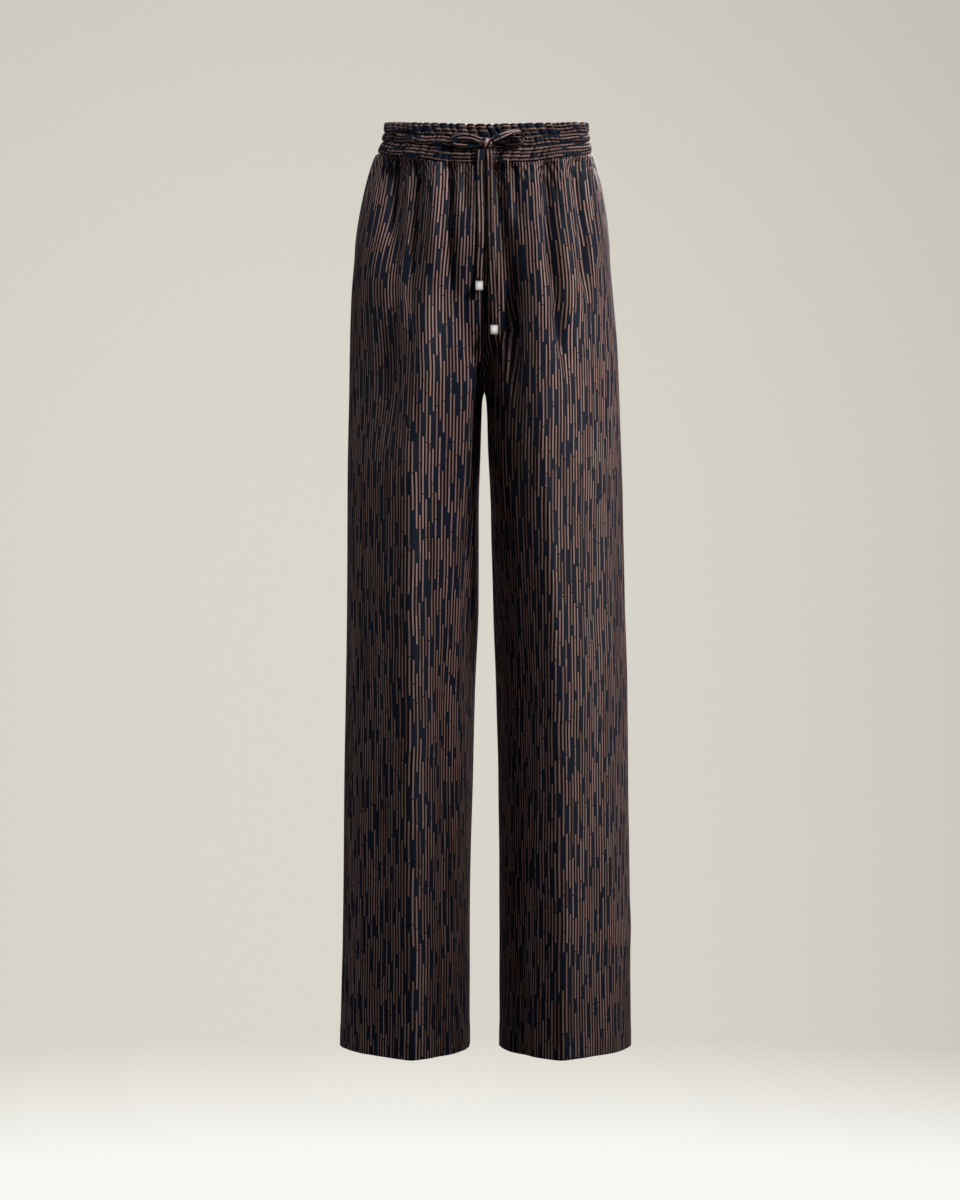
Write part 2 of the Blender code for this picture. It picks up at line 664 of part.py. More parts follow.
def make_knot(material):
    """The knot: a rounded lump, a little pinched across its middle."""
    x, height = KNOT_CENTRE
    y = cloth_front(x, height) - KNOT_SIZE[1] / 2 - KNOT_STAND_OFF
    bpy.ops.mesh.primitive_uv_sphere_add(segments=14, ring_count=8, radius=0.5,
                                         location=(0.0, 0.0, 0.0))
    item = bpy.context.object
    item.name = "drawstring_knot"
    for vertex in item.data.vertices:
        vertex.co.x = vertex.co.x * KNOT_SIZE[0] * MM + x * MM
        vertex.co.y = vertex.co.y * KNOT_SIZE[1] * MM + y * MM
        vertex.co.z = vertex.co.z * KNOT_SIZE[2] * MM + height * MM
    item.data.shade_smooth()
    item.data.materials.append(material)


def make_tip(side, end, material):
    """A square metal tip, closed at the bottom, that a tail runs into."""
    bpy.ops.mesh.primitive_cube_add(size=1.0, location=(0.0, 0.0, 0.0))
    item = bpy.context.object
    item.name = f"tip_{side}"
    centre = (end[0], end[1], end[2] - TIP_SIZE[2] / 2 - TIP_GAP)
    for vertex in item.data.vertices:
        for axis in range(3):
            vertex.co[axis] = (vertex.co[axis] * TIP_SIZE[axis] + centre[axis]) * MM
    bevel = item.modifiers.new("edges", "BEVEL")
    bevel.width = 0.8 * MM
    bevel.segments = 2
    item.data.materials.append(material)


def main():
    clear_scene()
    printed = fabric("printed_cloth", (0.022, 0.027, 0.062), 0.5)
    shirred = fabric("shirred_cloth", (0.035, 0.026, 0.04), 0.55)
    facing = fabric("facing_cloth", (0.03, 0.022, 0.03), 0.6)
    string = fabric("string_cloth", (0.03, 0.025, 0.045), 0.5)
    metal = fabric("tip_metal", (0.8, 0.79, 0.76), 0.2, 1.0)
    make_panels(printed)
    make_pocket_facings(facing)
    make_waistband(shirred)
    make_drawstring(string, metal)


main()
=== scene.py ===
"""Dresses the palazzo pants: shirred waistband, printed satin panels, bow and tips.

Lengths are in millimetres until a mesh is made.  The cloth's form repeats the solids'
own sections and folds, and the fine gathers, creases and stitching are added to it.
"""
import math
from collections import namedtuple

import bmesh
import bpy
import numpy as np
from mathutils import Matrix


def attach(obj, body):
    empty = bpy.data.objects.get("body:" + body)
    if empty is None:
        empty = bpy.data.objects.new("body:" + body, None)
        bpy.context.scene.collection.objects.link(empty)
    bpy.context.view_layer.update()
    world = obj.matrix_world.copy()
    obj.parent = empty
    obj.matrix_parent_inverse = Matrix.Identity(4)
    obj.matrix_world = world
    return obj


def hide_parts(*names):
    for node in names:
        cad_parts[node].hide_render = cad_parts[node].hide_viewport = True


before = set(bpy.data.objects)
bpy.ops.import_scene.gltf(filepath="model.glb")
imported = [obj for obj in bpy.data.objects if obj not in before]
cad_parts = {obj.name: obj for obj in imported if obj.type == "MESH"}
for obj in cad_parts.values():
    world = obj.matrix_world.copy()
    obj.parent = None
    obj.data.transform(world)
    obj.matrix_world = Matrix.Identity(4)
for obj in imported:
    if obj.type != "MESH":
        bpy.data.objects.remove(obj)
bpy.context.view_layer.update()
bpy.ops.object.select_all(action="DESELECT")

MM = 0.001
SIDES = {"right": -1.0, "left": 1.0}
FACES = {"front": -1.0, "back": 1.0}


def rows_of(kind, rows):
    """Name the columns of a list of rows, or of a dictionary of such lists."""
    if isinstance(rows, dict):
        return {key: rows_of(kind, part) for key, part in rows.items()}
    return [kind(*row) for row in rows]


# ---------------------------------------------------------------- the garment's sizes

HEM_HEIGHT = -1085.0
FIRST_LEVEL = -120.0
CURVE_TOP = -212.0
CROTCH_HEIGHT = -303.0
LEGS_APART_TOP = -110.0
CLEFT_EDGE = 0.5
CLEFT_NARROWING = 0.42
CLEFT_CURVE = (1.8, 0.8)      # how the centre turns from one torso into two legs
TURN_FILL = 0.08
SHARE_STEP = 1e-4             # a small step round a section, to find its direction
SEAM_GAP = 0.3
TORSO_ROUNDNESS = 2.35
LEG_ROUNDNESS = 1.64
RIM_AT_SIDE = 19.0
RIM_SLOPE = 0.15
RIM_BEND = -0.0005
SEAM_AT_SIDE = -16.0
SEAM_SLOPE = 0.158
SEAM_BEND = -0.00155
WAIST_DEPTH = 97.0
BAND_SWELL = 2.2
MOUTH_SHARE = 0.085
MOUTH_BOTTOM = -152.0
MOUTH_LIFT = 0.8
FACING_OVERLAP = 0.045
FACING_BOTTOM = -168.0
FACING_DEPTH = 2.2
STRING_WIDTH = 9.0
STRING_THICKNESS = 1.8
KNOT_CENTRE = (2.7, -24.6)
KNOT_SIZE = (13.6, 8.4, 11.6)
KNOT_STAND_OFF = 1.6
TIP_SIZE = (9.0, 4.4, 11.0)
TIP_GAP = 0.7
TIP_BEVEL = 0.9
SOCKET_WALL = 0.55
SOCKET_DEPTH = 3.0

Outline = namedtuple("Outline", "height outer_right outer_left")
OUTLINE = rows_of(Outline, [
    (30, 118.0, 123.5), (10, 119.5, 124.5), (-5, 122.5, 126.0), (-16, 127.0, 128.0),
    (-36, 135.0, 133.5), (-65, 143.2, 141.0), (-108, 151.5, 147.0), (-151, 156.6, 151.0),
    (-195, 160.0, 155.0), (-252, 161.6, 160.0), (-310, 162.6, 162.0), (-408, 164.6, 165.0),
    (-552, 165.2, 168.0), (-660, 166.5, 171.3), (-768, 168.6, 172.5), (-912, 170.0, 174.6),
    (-1085, 173.5, 176.0),
])
Inseam = namedtuple("Inseam", "height inner_right inner_left")
INSEAM = rows_of(Inseam, [
    (CROTCH_HEIGHT, 0.0, 0.0), (-313, 2.4, 2.0), (-372, 4.4, 4.4), (-444, 6.6, 7.8),
    (-552, 6.8, 10.4), (-660, 11.2, 13.8), (-768, 13.8, 16.2), (-912, 17.2, 17.6),
    (-1085, 17.6, 17.6),
])
Depth = namedtuple("Depth", "height front back")
DEPTHS = rows_of(Depth, [
    (30, 94.0, 95.0), (-16, 97.0, 98.0), (-60, 102.5, 108.0), (-110, 107.0, 120.0),
    (-180, 110.0, 133.0), (-235, 111.0, 136.0), (-316, 110.0, 129.0), (-450, 107.0, 117.0),
    (-700, 103.0, 107.0), (-1085, 99.0, 103.0),
])
Ridge = namedtuple("Ridge", "height front_right front_left back")
RIDGES = rows_of(Ridge, [
    (-120, 80.0, 46.0, 82.0), (-216, 69.0, 52.0, 83.0), (-345, 74.0, 66.0, 86.0),
    (-430, 82.0, 71.0, 88.0), (-530, 86.0, 76.0, 90.0), (-680, 85.5, 88.0, 92.0),
    (-840, 83.0, 87.5, 94.0), (-1085, 83.0, 89.0, 95.0),
])

# Gather folds and long soft folds, as the solids have them.
Fold = namedtuple("Fold", "top middle bottom x_top x_middle x_bottom depth inward outward")
FOLDS = rows_of(Fold, {
    ("right", "front"): [
        (-30, -140, -330, 76, 82, 88, -10.5, 8, 14),
        (-40, -180, -430, 104, 109, 114, -14.0, 22, 28),
        (-32, -120, -240, 41, 42, 36, -10.5, 7, 8),
        (-34, -70, -120, 24, 24, 23, -6.5, 5.5, 6),
        (-24, -80, -150, 106, 113, 119, -6.0, 7, 8),
        (-36, -90, -200, 57, 58, 60, 3.5, 8, 8),
        (-30, -90, -190, 91, 92, 97, 3.5, 8, 8),
        (-330, -700, -1100, 122, 128, 132, -2.5, 22, 20),
        (-560, -860, -1100, 44, 47, 50, -5.0, 15, 16),
        (-230, -560, -1100, 82, 87, 84, 5.0, 10, 13),
    ],
    ("left", "front"): [
        (-30, -160, -370, 11, 21, 38, -17.0, 9, 15),
        (-32, -75, -130, 33, 36, 40, -6.5, 5, 6),
        (-30, -150, -330, 72, 76, 100, -13.5, 7, 10),
        (-24, -90, -230, 107, 115, 124, -11.5, 8, 9),
        (-130, -190, -250, 116, 121, 126, -2.0, 7, 9),
        (-34, -90, -190, 58, 60, 64, 4.0, 10, 10),
        (-340, -700, -1100, 128, 130, 134, -3.0, 22, 20),
        (-420, -760, -1100, 48, 46, 44, -3.5, 14, 18),
        (-240, -560, -1100, 56, 80, 89, 5.5, 11, 12),
    ],
    ("right", "back"): [
        (-22, -120, -240, 20, 22, 27, -6.0, 8, 9),
        (-20, -90, -170, 43, 46, 50, -6.5, 8, 9),
        (-18, -110, -215, 69, 73, 80, -7.0, 9, 9),
        (-16, -85, -150, 92, 98, 106, -5.0, 8, 8),
        (-240, -600, -1100, 86, 90, 95, 5.0, 16, 18),
        (-380, -640, -900, 124, 128, 132, -3.5, 20, 22),
        (-520, -860, -1100, 46, 44, 46, -3.0, 18, 18),
    ],
    ("left", "back"): [
        (-22, -105, -205, 27, 29, 34, -6.5, 9, 9),
        (-20, -115, -225, 52, 56, 63, -6.5, 9, 8),
        (-18, -90, -165, 78, 83, 90, -6.0, 8, 9),
        (-16, -75, -135, 100, 106, 113, -5.0, 8, 8),
        (-250, -600, -1100, 88, 92, 96, 5.0, 16, 18),
        (-420, -720, -980, 122, 126, 128, -3.5, 22, 20),
        (-340, -700, -1100, 44, 46, 48, -3.5, 18, 18),
    ],
})
CENTRE_TROUGH = 4.2
CENTRE_TROUGH_WIDTH = 9.0
CENTRE_TROUGH_TOP = -46.0
CENTRE_TROUGH_ENDS = (30.0, 90.0)   # over what height it eases in at the top and out below
FOLD_SHARPNESS = 1.6
FOLD_START = 5.0
FOLD_RISE = 30.0
FOLD_AT_SEAM = 0.8            # a fold's share of its depth close under the seam
FOLD_ENDS = (0.3, 0.4, 0.45)  # shares of a fold's length over which it eases in and out
LEAST_RUN = 0.3               # the least share of its width that a fold shows at a turn
SIDE_CALM = 16.0
INSEAM_CALM = 0.18

StringPoint = namedtuple("StringPoint", "x height stand_off roll")
TAIL_ROUTES = rows_of(StringPoint, {
    "right": [
        (-4.8, -31.2, 3.6, 0), (-5.0, -40.0, 2.7, 4), (-4.9, -54.0, 2.4, 8),
        (-4.5, -78.0, 2.2, 2), (-4.3, -104.0, 2.2, -6), (-4.7, -132.0, 2.4, -3),
        (-5.4, -158.0, 2.7, 4), (-6.1, -176.0, 3.0, 2), (-6.3, -181.5, 3.0, 0),
    ],
    "left": [
        (5.2, -31.2, 3.6, 0), (5.6, -42.0, 2.7, -5), (5.8, -58.0, 2.4, -8),
        (6.2, -86.0, 2.2, 2), (6.8, -116.0, 2.3, 7), (7.8, -148.0, 2.5, 2),
        (9.4, -184.0, 2.8, -6), (10.8, -216.0, 3.0, -2), (11.2, -230.4, 3.0, 0),
    ],
})
LOOP_ROUTES = rows_of(StringPoint, {
    "right": [
        (-4.8, -20.6, 5.0, 0), (-13.0, -17.4, 6.0, 6), (-22.0, -15.8, 6.6, 4),
        (-30.5, -16.0, 6.2, 0), (-35.2, -17.8, 5.2, 0), (-37.0, -20.0, 4.1, 0),
        (-34.6, -22.4, 3.0, 0), (-27.0, -23.8, 2.4, 0), (-15.0, -24.0, 2.3, 0),
        (-4.8, -23.6, 2.4, 0),
    ],
    "left": [
        (10.2, -19.4, 5.2, 0), (17.0, -16.6, 6.4, -8), (26.0, -12.8, 7.4, -30),
        (35.0, -9.8, 8.2, -55), (42.0, -11.0, 8.2, -74), (44.8, -16.6, 7.6, -84),
        (42.0, -23.4, 6.6, -78), (33.0, -26.4, 5.2, -62), (21.5, -26.6, 4.0, -48),
        (10.2, -25.0, 2.9, -20),
    ],
})

# ------------------------------------------------------------- the sizes of fine detail

CLOTH_THICKNESS = 0.9
HEM_ALLOWANCE = 25.0          # the turned-up hem
HEM_SWELL = 0.45
SEAM_DIP = 1.0
SEAM_DIP_WIDTH = 2.4
EDGE_CLEARANCE = 0.02
WELD_DISTANCE = 1e-7          # in metres
PANEL_COLUMNS = 125
BAND_COLUMNS = 661
GRAIN_LINE = 78.0             # the lengthwise thread that hangs plumb, from the centre
WAIST_CLOSING = 0.17          # how much closer the stripes lie at the gathered waist
PRINT_EASE = 1.03             # stripes on the calm cloth against their place from the front
PRINT_LEAST = 0.55            # their least share of it where the cloth turns away
PIN_WIDTH = 3.0
GATHER_REACH = 215.0          # round a panel, where its fine gathers end
GATHER_FIRST = (3.0, 8.0)
GATHER_SPACING = (5.2, 10.5)
GATHER_LENGTH = (26.0, 70.0)
GATHER_LONG = (0.3, 2.1)      # the share of gathers that run longer, and how much
GATHER_DEPTH = (1.5, 3.4)
GATHER_WIDTH = (1.7, 3.0)
GATHER_LEAN = (-0.04, 0.07)
TUCK = (3.2, 2.4)             # how far below the seam the cloth turns in, and how deep
TOP_LIFT = (2.5, 0.9)         # and over what height its edge rises, and how far
CLOSING_FROM = (-210.0, 170.0)   # where the stripes start to close in, and over what height
FLAT_FROM = (-330.0, 370.0)   # where they start to follow the cloth alone, and over what height
HEM_STITCH_PITCH = 8.7
MOUTH_STITCH = 6.2            # from the pocket mouth's edge to its stitching

# Each piece's own random numbers, turn of its slow drape and place in the print.
GATHER_SEEDS = {("right", "front"): 11, ("left", "front"): 23,
                ("right", "back"): 37, ("left", "back"): 41}
GATHER_DEEPER = {("right", "front"): 1.3}
SLIT_SEEDS = {"front": 5, "back": 8}
DRAPE_TURNS = {"right": 0.0, "left": 2.1, "front": 0.0, "back": 3.3}
PRINT_SHIFTS = {"right": 3.0, "left": 7.0, "front": 0.0, "back": 11.0, "facing": 21.0,
                "waistband_front": 31.0, "waistband_back": 37.0, "string": 41.0,
                "knot": 51.0, "strand": 55.0}

# Creases, listed one by one: on a panel, at a distance round from its side seam and a height;
# lean is how far round the line runs per millimetre of height, bow bends it.
Crease = namedtuple("Crease", "round height length lean bow depth width")
CREASES = rows_of(Crease, {
    ("right", "front"): [
        (10, -965, 74, 0.10, 5.0, -1.5, 7),
        (17, -1005, 60, -0.16, -5.0, 1.3, 7),
        (26, -955, 88, 0.14, 6.0, -1.1, 9),
        (216, -566, 74, 0.05, -7.0, 1.5, 9),
        (226, -576, 66, 0.03, -6.0, -1.2, 7),
        (196, -470, 120, -0.03, 5.0, -0.9, 11),
        (120, -640, 210, 0.02, 5.0, 0.8, 13),
        (92, -820, 190, 0.03, -5.0, -0.8, 12),
        (150, -900, 150, 0.02, 4.0, -0.7, 12),
        (46, -420, 170, 0.05, 6.0, 0.8, 14),
        (60, -300, 110, 0.12, 4.0, -0.9, 10),
    ],
    ("left", "front"): [
        (11, -948, 90, -0.12, -6.0, 1.5, 7),
        (20, -985, 84, 0.16, 6.0, -1.5, 7),
        (31, -965, 96, -0.10, -5.0, 1.1, 9),
        (212, -600, 90, 0.04, 6.0, -1.0, 9),
        (110, -560, 190, -0.03, 5.0, 0.8, 13),
        (84, -760, 210, -0.02, -5.0, -0.8, 12),
        (160, -860, 170, 0.02, 5.0, 0.7, 12),
        (62, -340, 130, 0.10, 6.0, -1.0, 11),
        (44, -290, 90, 0.16, 4.0, 0.8, 9),
    ],
    ("right", "back"): [
        (12, -960, 80, 0.12, 5.0, -1.4, 7),
        (24, -990, 90, -0.12, -5.0, 1.2, 8),
        (200, -360, 90, 0.30, 8.0, -1.6, 11),
        (170, -390, 120, 0.22, 8.0, 1.2, 12),
        (110, -620, 200, 0.02, 5.0, 0.8, 13),
        (80, -820, 200, 0.03, -5.0, -0.9, 12),
        (214, -700, 120, -0.05, 6.0, -1.0, 10),
        (150, -940, 150, 0.03, 4.0, -0.8, 12),
    ],
    ("left", "back"): [
        (13, -950, 90, -0.12, -5.0, 1.4, 7),
        (25, -1000, 84, 0.14, 5.0, -1.2, 8),
        (196, -365, 100, -0.26, -8.0, -1.5, 11),
        (166, -400, 110, -0.20, -8.0, 1.1, 12),
        (118, -600, 220, -0.03, -5.0, 0.8, 13),
        (88, -790, 190, 0.02, 5.0, -0.9, 12),
        (210, -640, 130, 0.05, -6.0, -1.0, 10),
        (140, -920, 170, -0.02, 4.0, 0.8, 12),
    ],
})

# Shirring: each row of the waistband from the rim down, and the slits between its gathers.
ShirrRow = namedtuple("ShirrRow", "top bottom swell spacing slant depth width")
SHIRR_ROWS = rows_of(ShirrRow, [
    (0.00, 0.31, 1.6, 9.2, 0.62, 5.8, 1.5),
    (0.31, 0.60, 2.2, 4.8, 0.05, 3.4, 1.1),
    (0.60, 1.00, 1.5, 9.8, -0.42, 5.2, 1.4),
])
BAND_HEIGHT = 42.0
BAND_INNER = 5.6
INNER_PITCH = 9.0
STITCH_STAND_OFF = -0.7
CRIMP_PITCH = 3.3
CRIMP_DEPTH = 1.1
PINCH_WIDTH = 2.2             # how far from a row's stitching the cloth is pinched
PINCH_AT_RIM = 0.35
SLIT_OVERHANG = 1.7


# ------------------------------------------------------------------- the cloth's form

def smooth_step(value):
    """Ease from 0 to 1 over the range 0 to 1."""
    t = np.clip(value, 0.0, 1.0)
    return t * t * (3.0 - 2.0 * t)


def bell(value):
    """A smooth bump, 1 at nothing and fading both ways."""
    return np.exp(-(value**2))


def squared_off(value, power):
    """A sine or cosine raised to a power with its sign kept, for a fuller round."""
    return math.copysign(abs(value) ** power, value)


def read_table(table, column, height):
    """Value of a column at a height, on a smooth curve that never overshoots the rows."""
    rows = sorted(table, key=lambda row: row.height)
    z = np.array([row.height for row in rows], dtype=float)
    value = np.array([getattr(row, column) for row in rows], dtype=float)
    slope = np.diff(value) / np.diff(z)
    product = slope[:-1] * slope[1:]
    total = slope[:-1] + slope[1:]
    safe_total = np.where(total == 0.0, 1.0, total)
    inner = np.where(product > 0.0, 2.0 * product / safe_total, 0.0)
    tangent = np.concatenate(([slope[0]], inner, [slope[-1]]))
    h = np.clip(height, z[0], z[-1])
    i = np.clip(np.searchsorted(z, h) - 1, 0, len(z) - 2)
    step = z[i + 1] - z[i]
    t = (h - z[i]) / step
    return ((2 * t**3 - 3 * t**2 + 1) * value[i] + (t**3 - 2 * t**2 + t) * step * tangent[i]
            + (3 * t**2 - 2 * t**3) * value[i + 1] + (t**3 - t**2) * step * tangent[i + 1])


def superellipse(angle, half_width, half_depth, roundness):
    """A point on a superellipse, by its angle from the x axis."""
    c = np.cos(angle)
    s = np.sin(angle)
    reach = (np.abs(c) ** roundness + np.abs(s) ** roundness) ** (-1.0 / roundness)
    return half_width * c * reach, half_depth * s * reach


def section(side, face, share, height):
    """The calm section of one quarter, before any fold: x and depth."""
    outer = read_table(OUTLINE, "outer_" + side, height)
    depth = read_table(DEPTHS, face, height)
    torso_x, torso_depth = superellipse(share * math.pi / 2, outer, depth, TORSO_ROUNDNESS)

    inner = read_table(INSEAM, "inner_" + side, height)
    ridge = read_table(RIDGES, "front_" + side if face == "front" else "back", height)
    middle = (outer + inner) / 2
    leg_x, leg_depth = superellipse(share * math.pi, 1.0, depth, LEG_ROUNDNESS)
    leg_x = middle + (outer - inner) / 2 * leg_x + (ridge - middle) * (1.0 - leg_x**2)

    down = np.clip((LEGS_APART_TOP - height) / (LEGS_APART_TOP - CROTCH_HEIGHT), 0.0, 1.0)
    at_side = smooth_step(down)
    at_centre = 1.0 - (1.0 - down**CLEFT_CURVE[0]) ** CLEFT_CURVE[1]
    cleft_edge = CLEFT_EDGE + CLEFT_NARROWING * down**2
    near_centre = smooth_step((share - cleft_edge) / (1.0 - cleft_edge))
    leg_part = at_side + (at_centre - at_side) * near_centre
    fill = 1.0 + TURN_FILL * 4.0 * at_side * (1.0 - at_side) * (1.0 - near_centre)
    return (torso_x + (leg_x - torso_x) * leg_part,
            (torso_depth + (leg_depth - torso_depth) * leg_part) * fill)


def seam_height(face, share):
    """Height of the seam between waistband and panels."""
    y = FACES[face] * WAIST_DEPTH * np.sin(share * math.pi / 2)
    return SEAM_AT_SIDE + SEAM_SLOPE * y + SEAM_BEND * y**2


def rim_height(face, share):
    """Height of the waistband's upper edge."""
    y = FACES[face] * WAIST_DEPTH * np.sin(share * math.pi / 2)
    return RIM_AT_SIDE + RIM_SLOPE * y + RIM_BEND * y**2


def fold_offset(side, face, share, height, x, run):
    """How far the folds push the cloth out along the section's normal."""
    offset = np.zeros_like(x)
    below_seam = seam_height(face, share) - height
    for fold in FOLDS[(side, face)]:
        upper = (height - fold.middle) / (fold.top - fold.middle)
        lower = (fold.middle - height) / (fold.middle - fold.bottom)
        line = np.where(height > fold.middle,
                        fold.x_middle + (fold.x_top - fold.x_middle) * np.clip(upper, 0, 1),
                        fold.x_middle + (fold.x_bottom - fold.x_middle) * np.clip(lower, 0, 1))
        away = (x - line) / run
        width = np.where(away > 0.0, fold.outward, fold.inward)
        length = fold.top - fold.bottom
        reach = smooth_step((1.0 - np.clip(lower, 0, 1)) / FOLD_ENDS[2])
        if fold.top < LEGS_APART_TOP:
            reach = smooth_step((fold.top - height) / (FOLD_ENDS[0] * length))
        if fold.bottom > HEM_HEIGHT:
            reach = reach * smooth_step((height - fold.bottom) / (FOLD_ENDS[1] * length))
        offset = offset + fold.depth * reach * np.exp(-np.abs(away / width) ** FOLD_SHARPNESS)
    trough = smooth_step((CENTRE_TROUGH_TOP - height) / CENTRE_TROUGH_ENDS[0])
    trough = trough * smooth_step((height - CROTCH_HEIGHT) / CENTRE_TROUGH_ENDS[1])
    offset = offset - CENTRE_TROUGH * trough * bell(x / CENTRE_TROUGH_WIDTH)
    started = smooth_step(below_seam / FOLD_START)
    risen = smooth_step(below_seam / FOLD_RISE)
    return offset * started * (FOLD_AT_SEAM + (1.0 - FOLD_AT_SEAM) * risen)


def quarter_point(side, face, share, height):
    """The cloth's outer surface in its quarter: x and depth."""
    x, depth = section(side, face, share, height)
    x_next, depth_next = section(side, face, share + SHARE_STEP, height)
    dx = x_next - x
    dd = depth_next - depth
    length = np.sqrt(dx**2 + dd**2)
    run = np.maximum(np.abs(dx) / length, LEAST_RUN)
    offset = fold_offset(side, face, share, height, x, run)
    offset = offset * smooth_step(depth / SIDE_CALM)
    near_inseam = smooth_step((share - 1.0 + INSEAM_CALM) / INSEAM_CALM)
    parted = smooth_step((LEGS_APART_TOP - height) / (LEGS_APART_TOP - CURVE_TOP))
    offset = offset * (1.0 - near_inseam * parted)
    return x + dd / length * offset, depth - dx / length * offset


def mouth_share(height):
    """Where the front panel's slanted pocket edge lies."""
    up = (height - MOUTH_BOTTOM) / (SEAM_AT_SIDE - MOUTH_BOTTOM)
    return MOUTH_SHARE * np.clip(up, 0.0, 1.0)


def front_depth(x, height):
    """The front cloth's depth at a place near the centre, on the band or on a panel."""
    side = "right" if x < 0.0 else "left"
    share = np.linspace(0.3, 1.0, 141)
    level = np.full_like(share, height)
    if height > float(seam_height("front", 1.0)):
        cloth_x, cloth_depth = section(side, "front", share, level)
        cloth_depth = cloth_depth + BAND_SWELL
    else:
        cloth_x, cloth_depth = quarter_point(side, "front", share, level)
    order = np.argsort(cloth_x)
    return np.interp(abs(x), cloth_x[order], cloth_depth[order])


def cloth_front(x, height):
    """The y that a string lies against: the foremost cloth under its width."""
    under = np.linspace(x - STRING_WIDTH / 2, x + STRING_WIDTH / 2, 7)
    return -max(front_depth(place, height) for place in under)


# ------------------------------------------------------------------------ mesh making

def unit(vectors):
    """Rows of vectors, each brought to length one."""
    return vectors / np.linalg.norm(vectors, axis=1, keepdims=True)


def round_from(start, step):
    """Distance round every row of a grid: its start, then its steps added up."""
    return np.concatenate([start, start + np.cumsum(step, axis=1)], axis=1)


def path_length(points):
    """Distance along a row of points, from nothing at the first."""
    steps = np.linalg.norm(np.diff(points, axis=0), axis=1)
    return np.concatenate([[0.0], np.cumsum(steps)])


def dress(piece, node):
    """Put a finished piece under the root body and hide the CAD node it takes the place of."""
    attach(piece, "root")
    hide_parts(node)


def turn_outward(piece, weld=False):
    """Turn a closed mesh's faces outward, after welding points that meet."""
    mesh = bmesh.new()
    mesh.from_mesh(piece.data)
    if weld:
        bmesh.ops.remove_doubles(mesh, verts=mesh.verts[:], dist=WELD_DISTANCE)
    bmesh.ops.recalc_face_normals(mesh, faces=mesh.faces[:])
    if mesh.calc_volume(signed=True) < 0.0:
        bmesh.ops.reverse_faces(mesh, faces=mesh.faces[:])
    mesh.to_mesh(piece.data)
    mesh.free()


def placed(side, face, x, depth, height):
    """Points of a quarter in the garment's own frame."""
    return np.stack([SIDES[side] * x, FACES[face] * depth, height], axis=-1)


def steps_round(x, depth):
    """Distance from each point of a grid's rows to the next."""
    return np.hypot(np.diff(x, axis=1), np.diff(depth, axis=1))


def outward_normals(points):
    """Unit normals of a grid of points, turned away from the garment's middle."""
    down = np.gradient(points, axis=0)
    across = np.gradient(points, axis=1)
    normal = np.cross(down, across)
    length = np.linalg.norm(normal, axis=-1, keepdims=True)
    normal = normal / np.maximum(length, 1e-9)
    outward = (normal[..., :2] * points[..., :2]).sum(axis=-1).mean() > 0.0
    return normal if outward else -normal


def mesh_object(name, points, faces, materials, face_materials=None, uv=None):
    """Make a smooth-shaded mesh object in metres, with an optional UV for each point."""
    data = bpy.data.meshes.new(name)
    data.from_pydata((np.asarray(points) * MM).tolist(), [], faces)
    for material in materials:
        data.materials.append(material)
    if face_materials is not None:
        data.polygons.foreach_set("material_index", face_materials)
    if uv is not None:
        layer = data.uv_layers.new(name="print_map")
        corners = np.zeros(len(data.loops), dtype=np.int32)
        data.loops.foreach_get("vertex_index", corners)
        layer.data.foreach_set("uv", np.asarray(uv)[corners].astype(np.float32).ravel())
    data.polygons.foreach_set("use_smooth", [True] * len(data.polygons))
    data.update()
    item = bpy.data.objects.new(name, data)
    bpy.context.scene.collection.objects.link(item)
    return item


def keep_clear(grid, axis, sign):
    """Keep a grid on its own side of the plane where two pieces meet."""
    grid[..., axis] = sign * np.maximum(sign * grid[..., axis], EDGE_CLEARANCE)


def grid_faces(rows, columns, start=0, wrap=False, closed=False):
    """Quads of a grid of points, optionally closed round its columns or its rows."""
    index = start + np.arange(rows * columns).reshape(rows, columns)
    if closed:
        index = np.concatenate([index, index[:1]], axis=0)
    if wrap:
        index = np.concatenate([index, index[:, :1]], axis=1)
    quads = np.stack([index[:-1, :-1], index[1:, :-1], index[1:, 1:], index[:-1, 1:]], axis=-1)
    return quads.reshape(-1, 4)


def shell_object(name, outer, inner, uv, materials):
    """A closed cloth shell between an outer and an inner grid; the inner face has the
    second material."""
    rows, columns = outer.shape[:2]
    count = rows * columns
    front = grid_faces(rows, columns)
    back = grid_faces(rows, columns, count)[:, ::-1]
    index = np.arange(count).reshape(rows, columns)
    ring = np.concatenate([index[0, :-1], index[:-1, -1], index[-1, :0:-1], index[:0:-1, 0]])
    following = np.roll(ring, -1)
    rim = np.stack([ring, following, following + count, ring + count], axis=-1)
    faces = np.concatenate([front, back, rim])
    points = np.concatenate([outer.reshape(-1, 3), inner.reshape(-1, 3)])
    corner = points[faces]
    volume = np.einsum("ij,ij->i", corner[:, 0], np.cross(corner[:, 1], corner[:, 2])).sum()
    volume += np.einsum("ij,ij->i", corner[:, 0], np.cross(corner[:, 2], corner[:, 3])).sum()
    if volume < 0.0:
        faces = faces[:, ::-1]
    slots = np.concatenate([np.zeros(len(front)), np.ones(len(back)), np.zeros(len(rim))])
    both = np.concatenate([uv.reshape(-1, 2), uv.reshape(-1, 2)])
    return mesh_object(name, points, faces.tolist(), materials, slots.astype(int).tolist(), both)


# --------------------------------------------------------------------- cloth materials

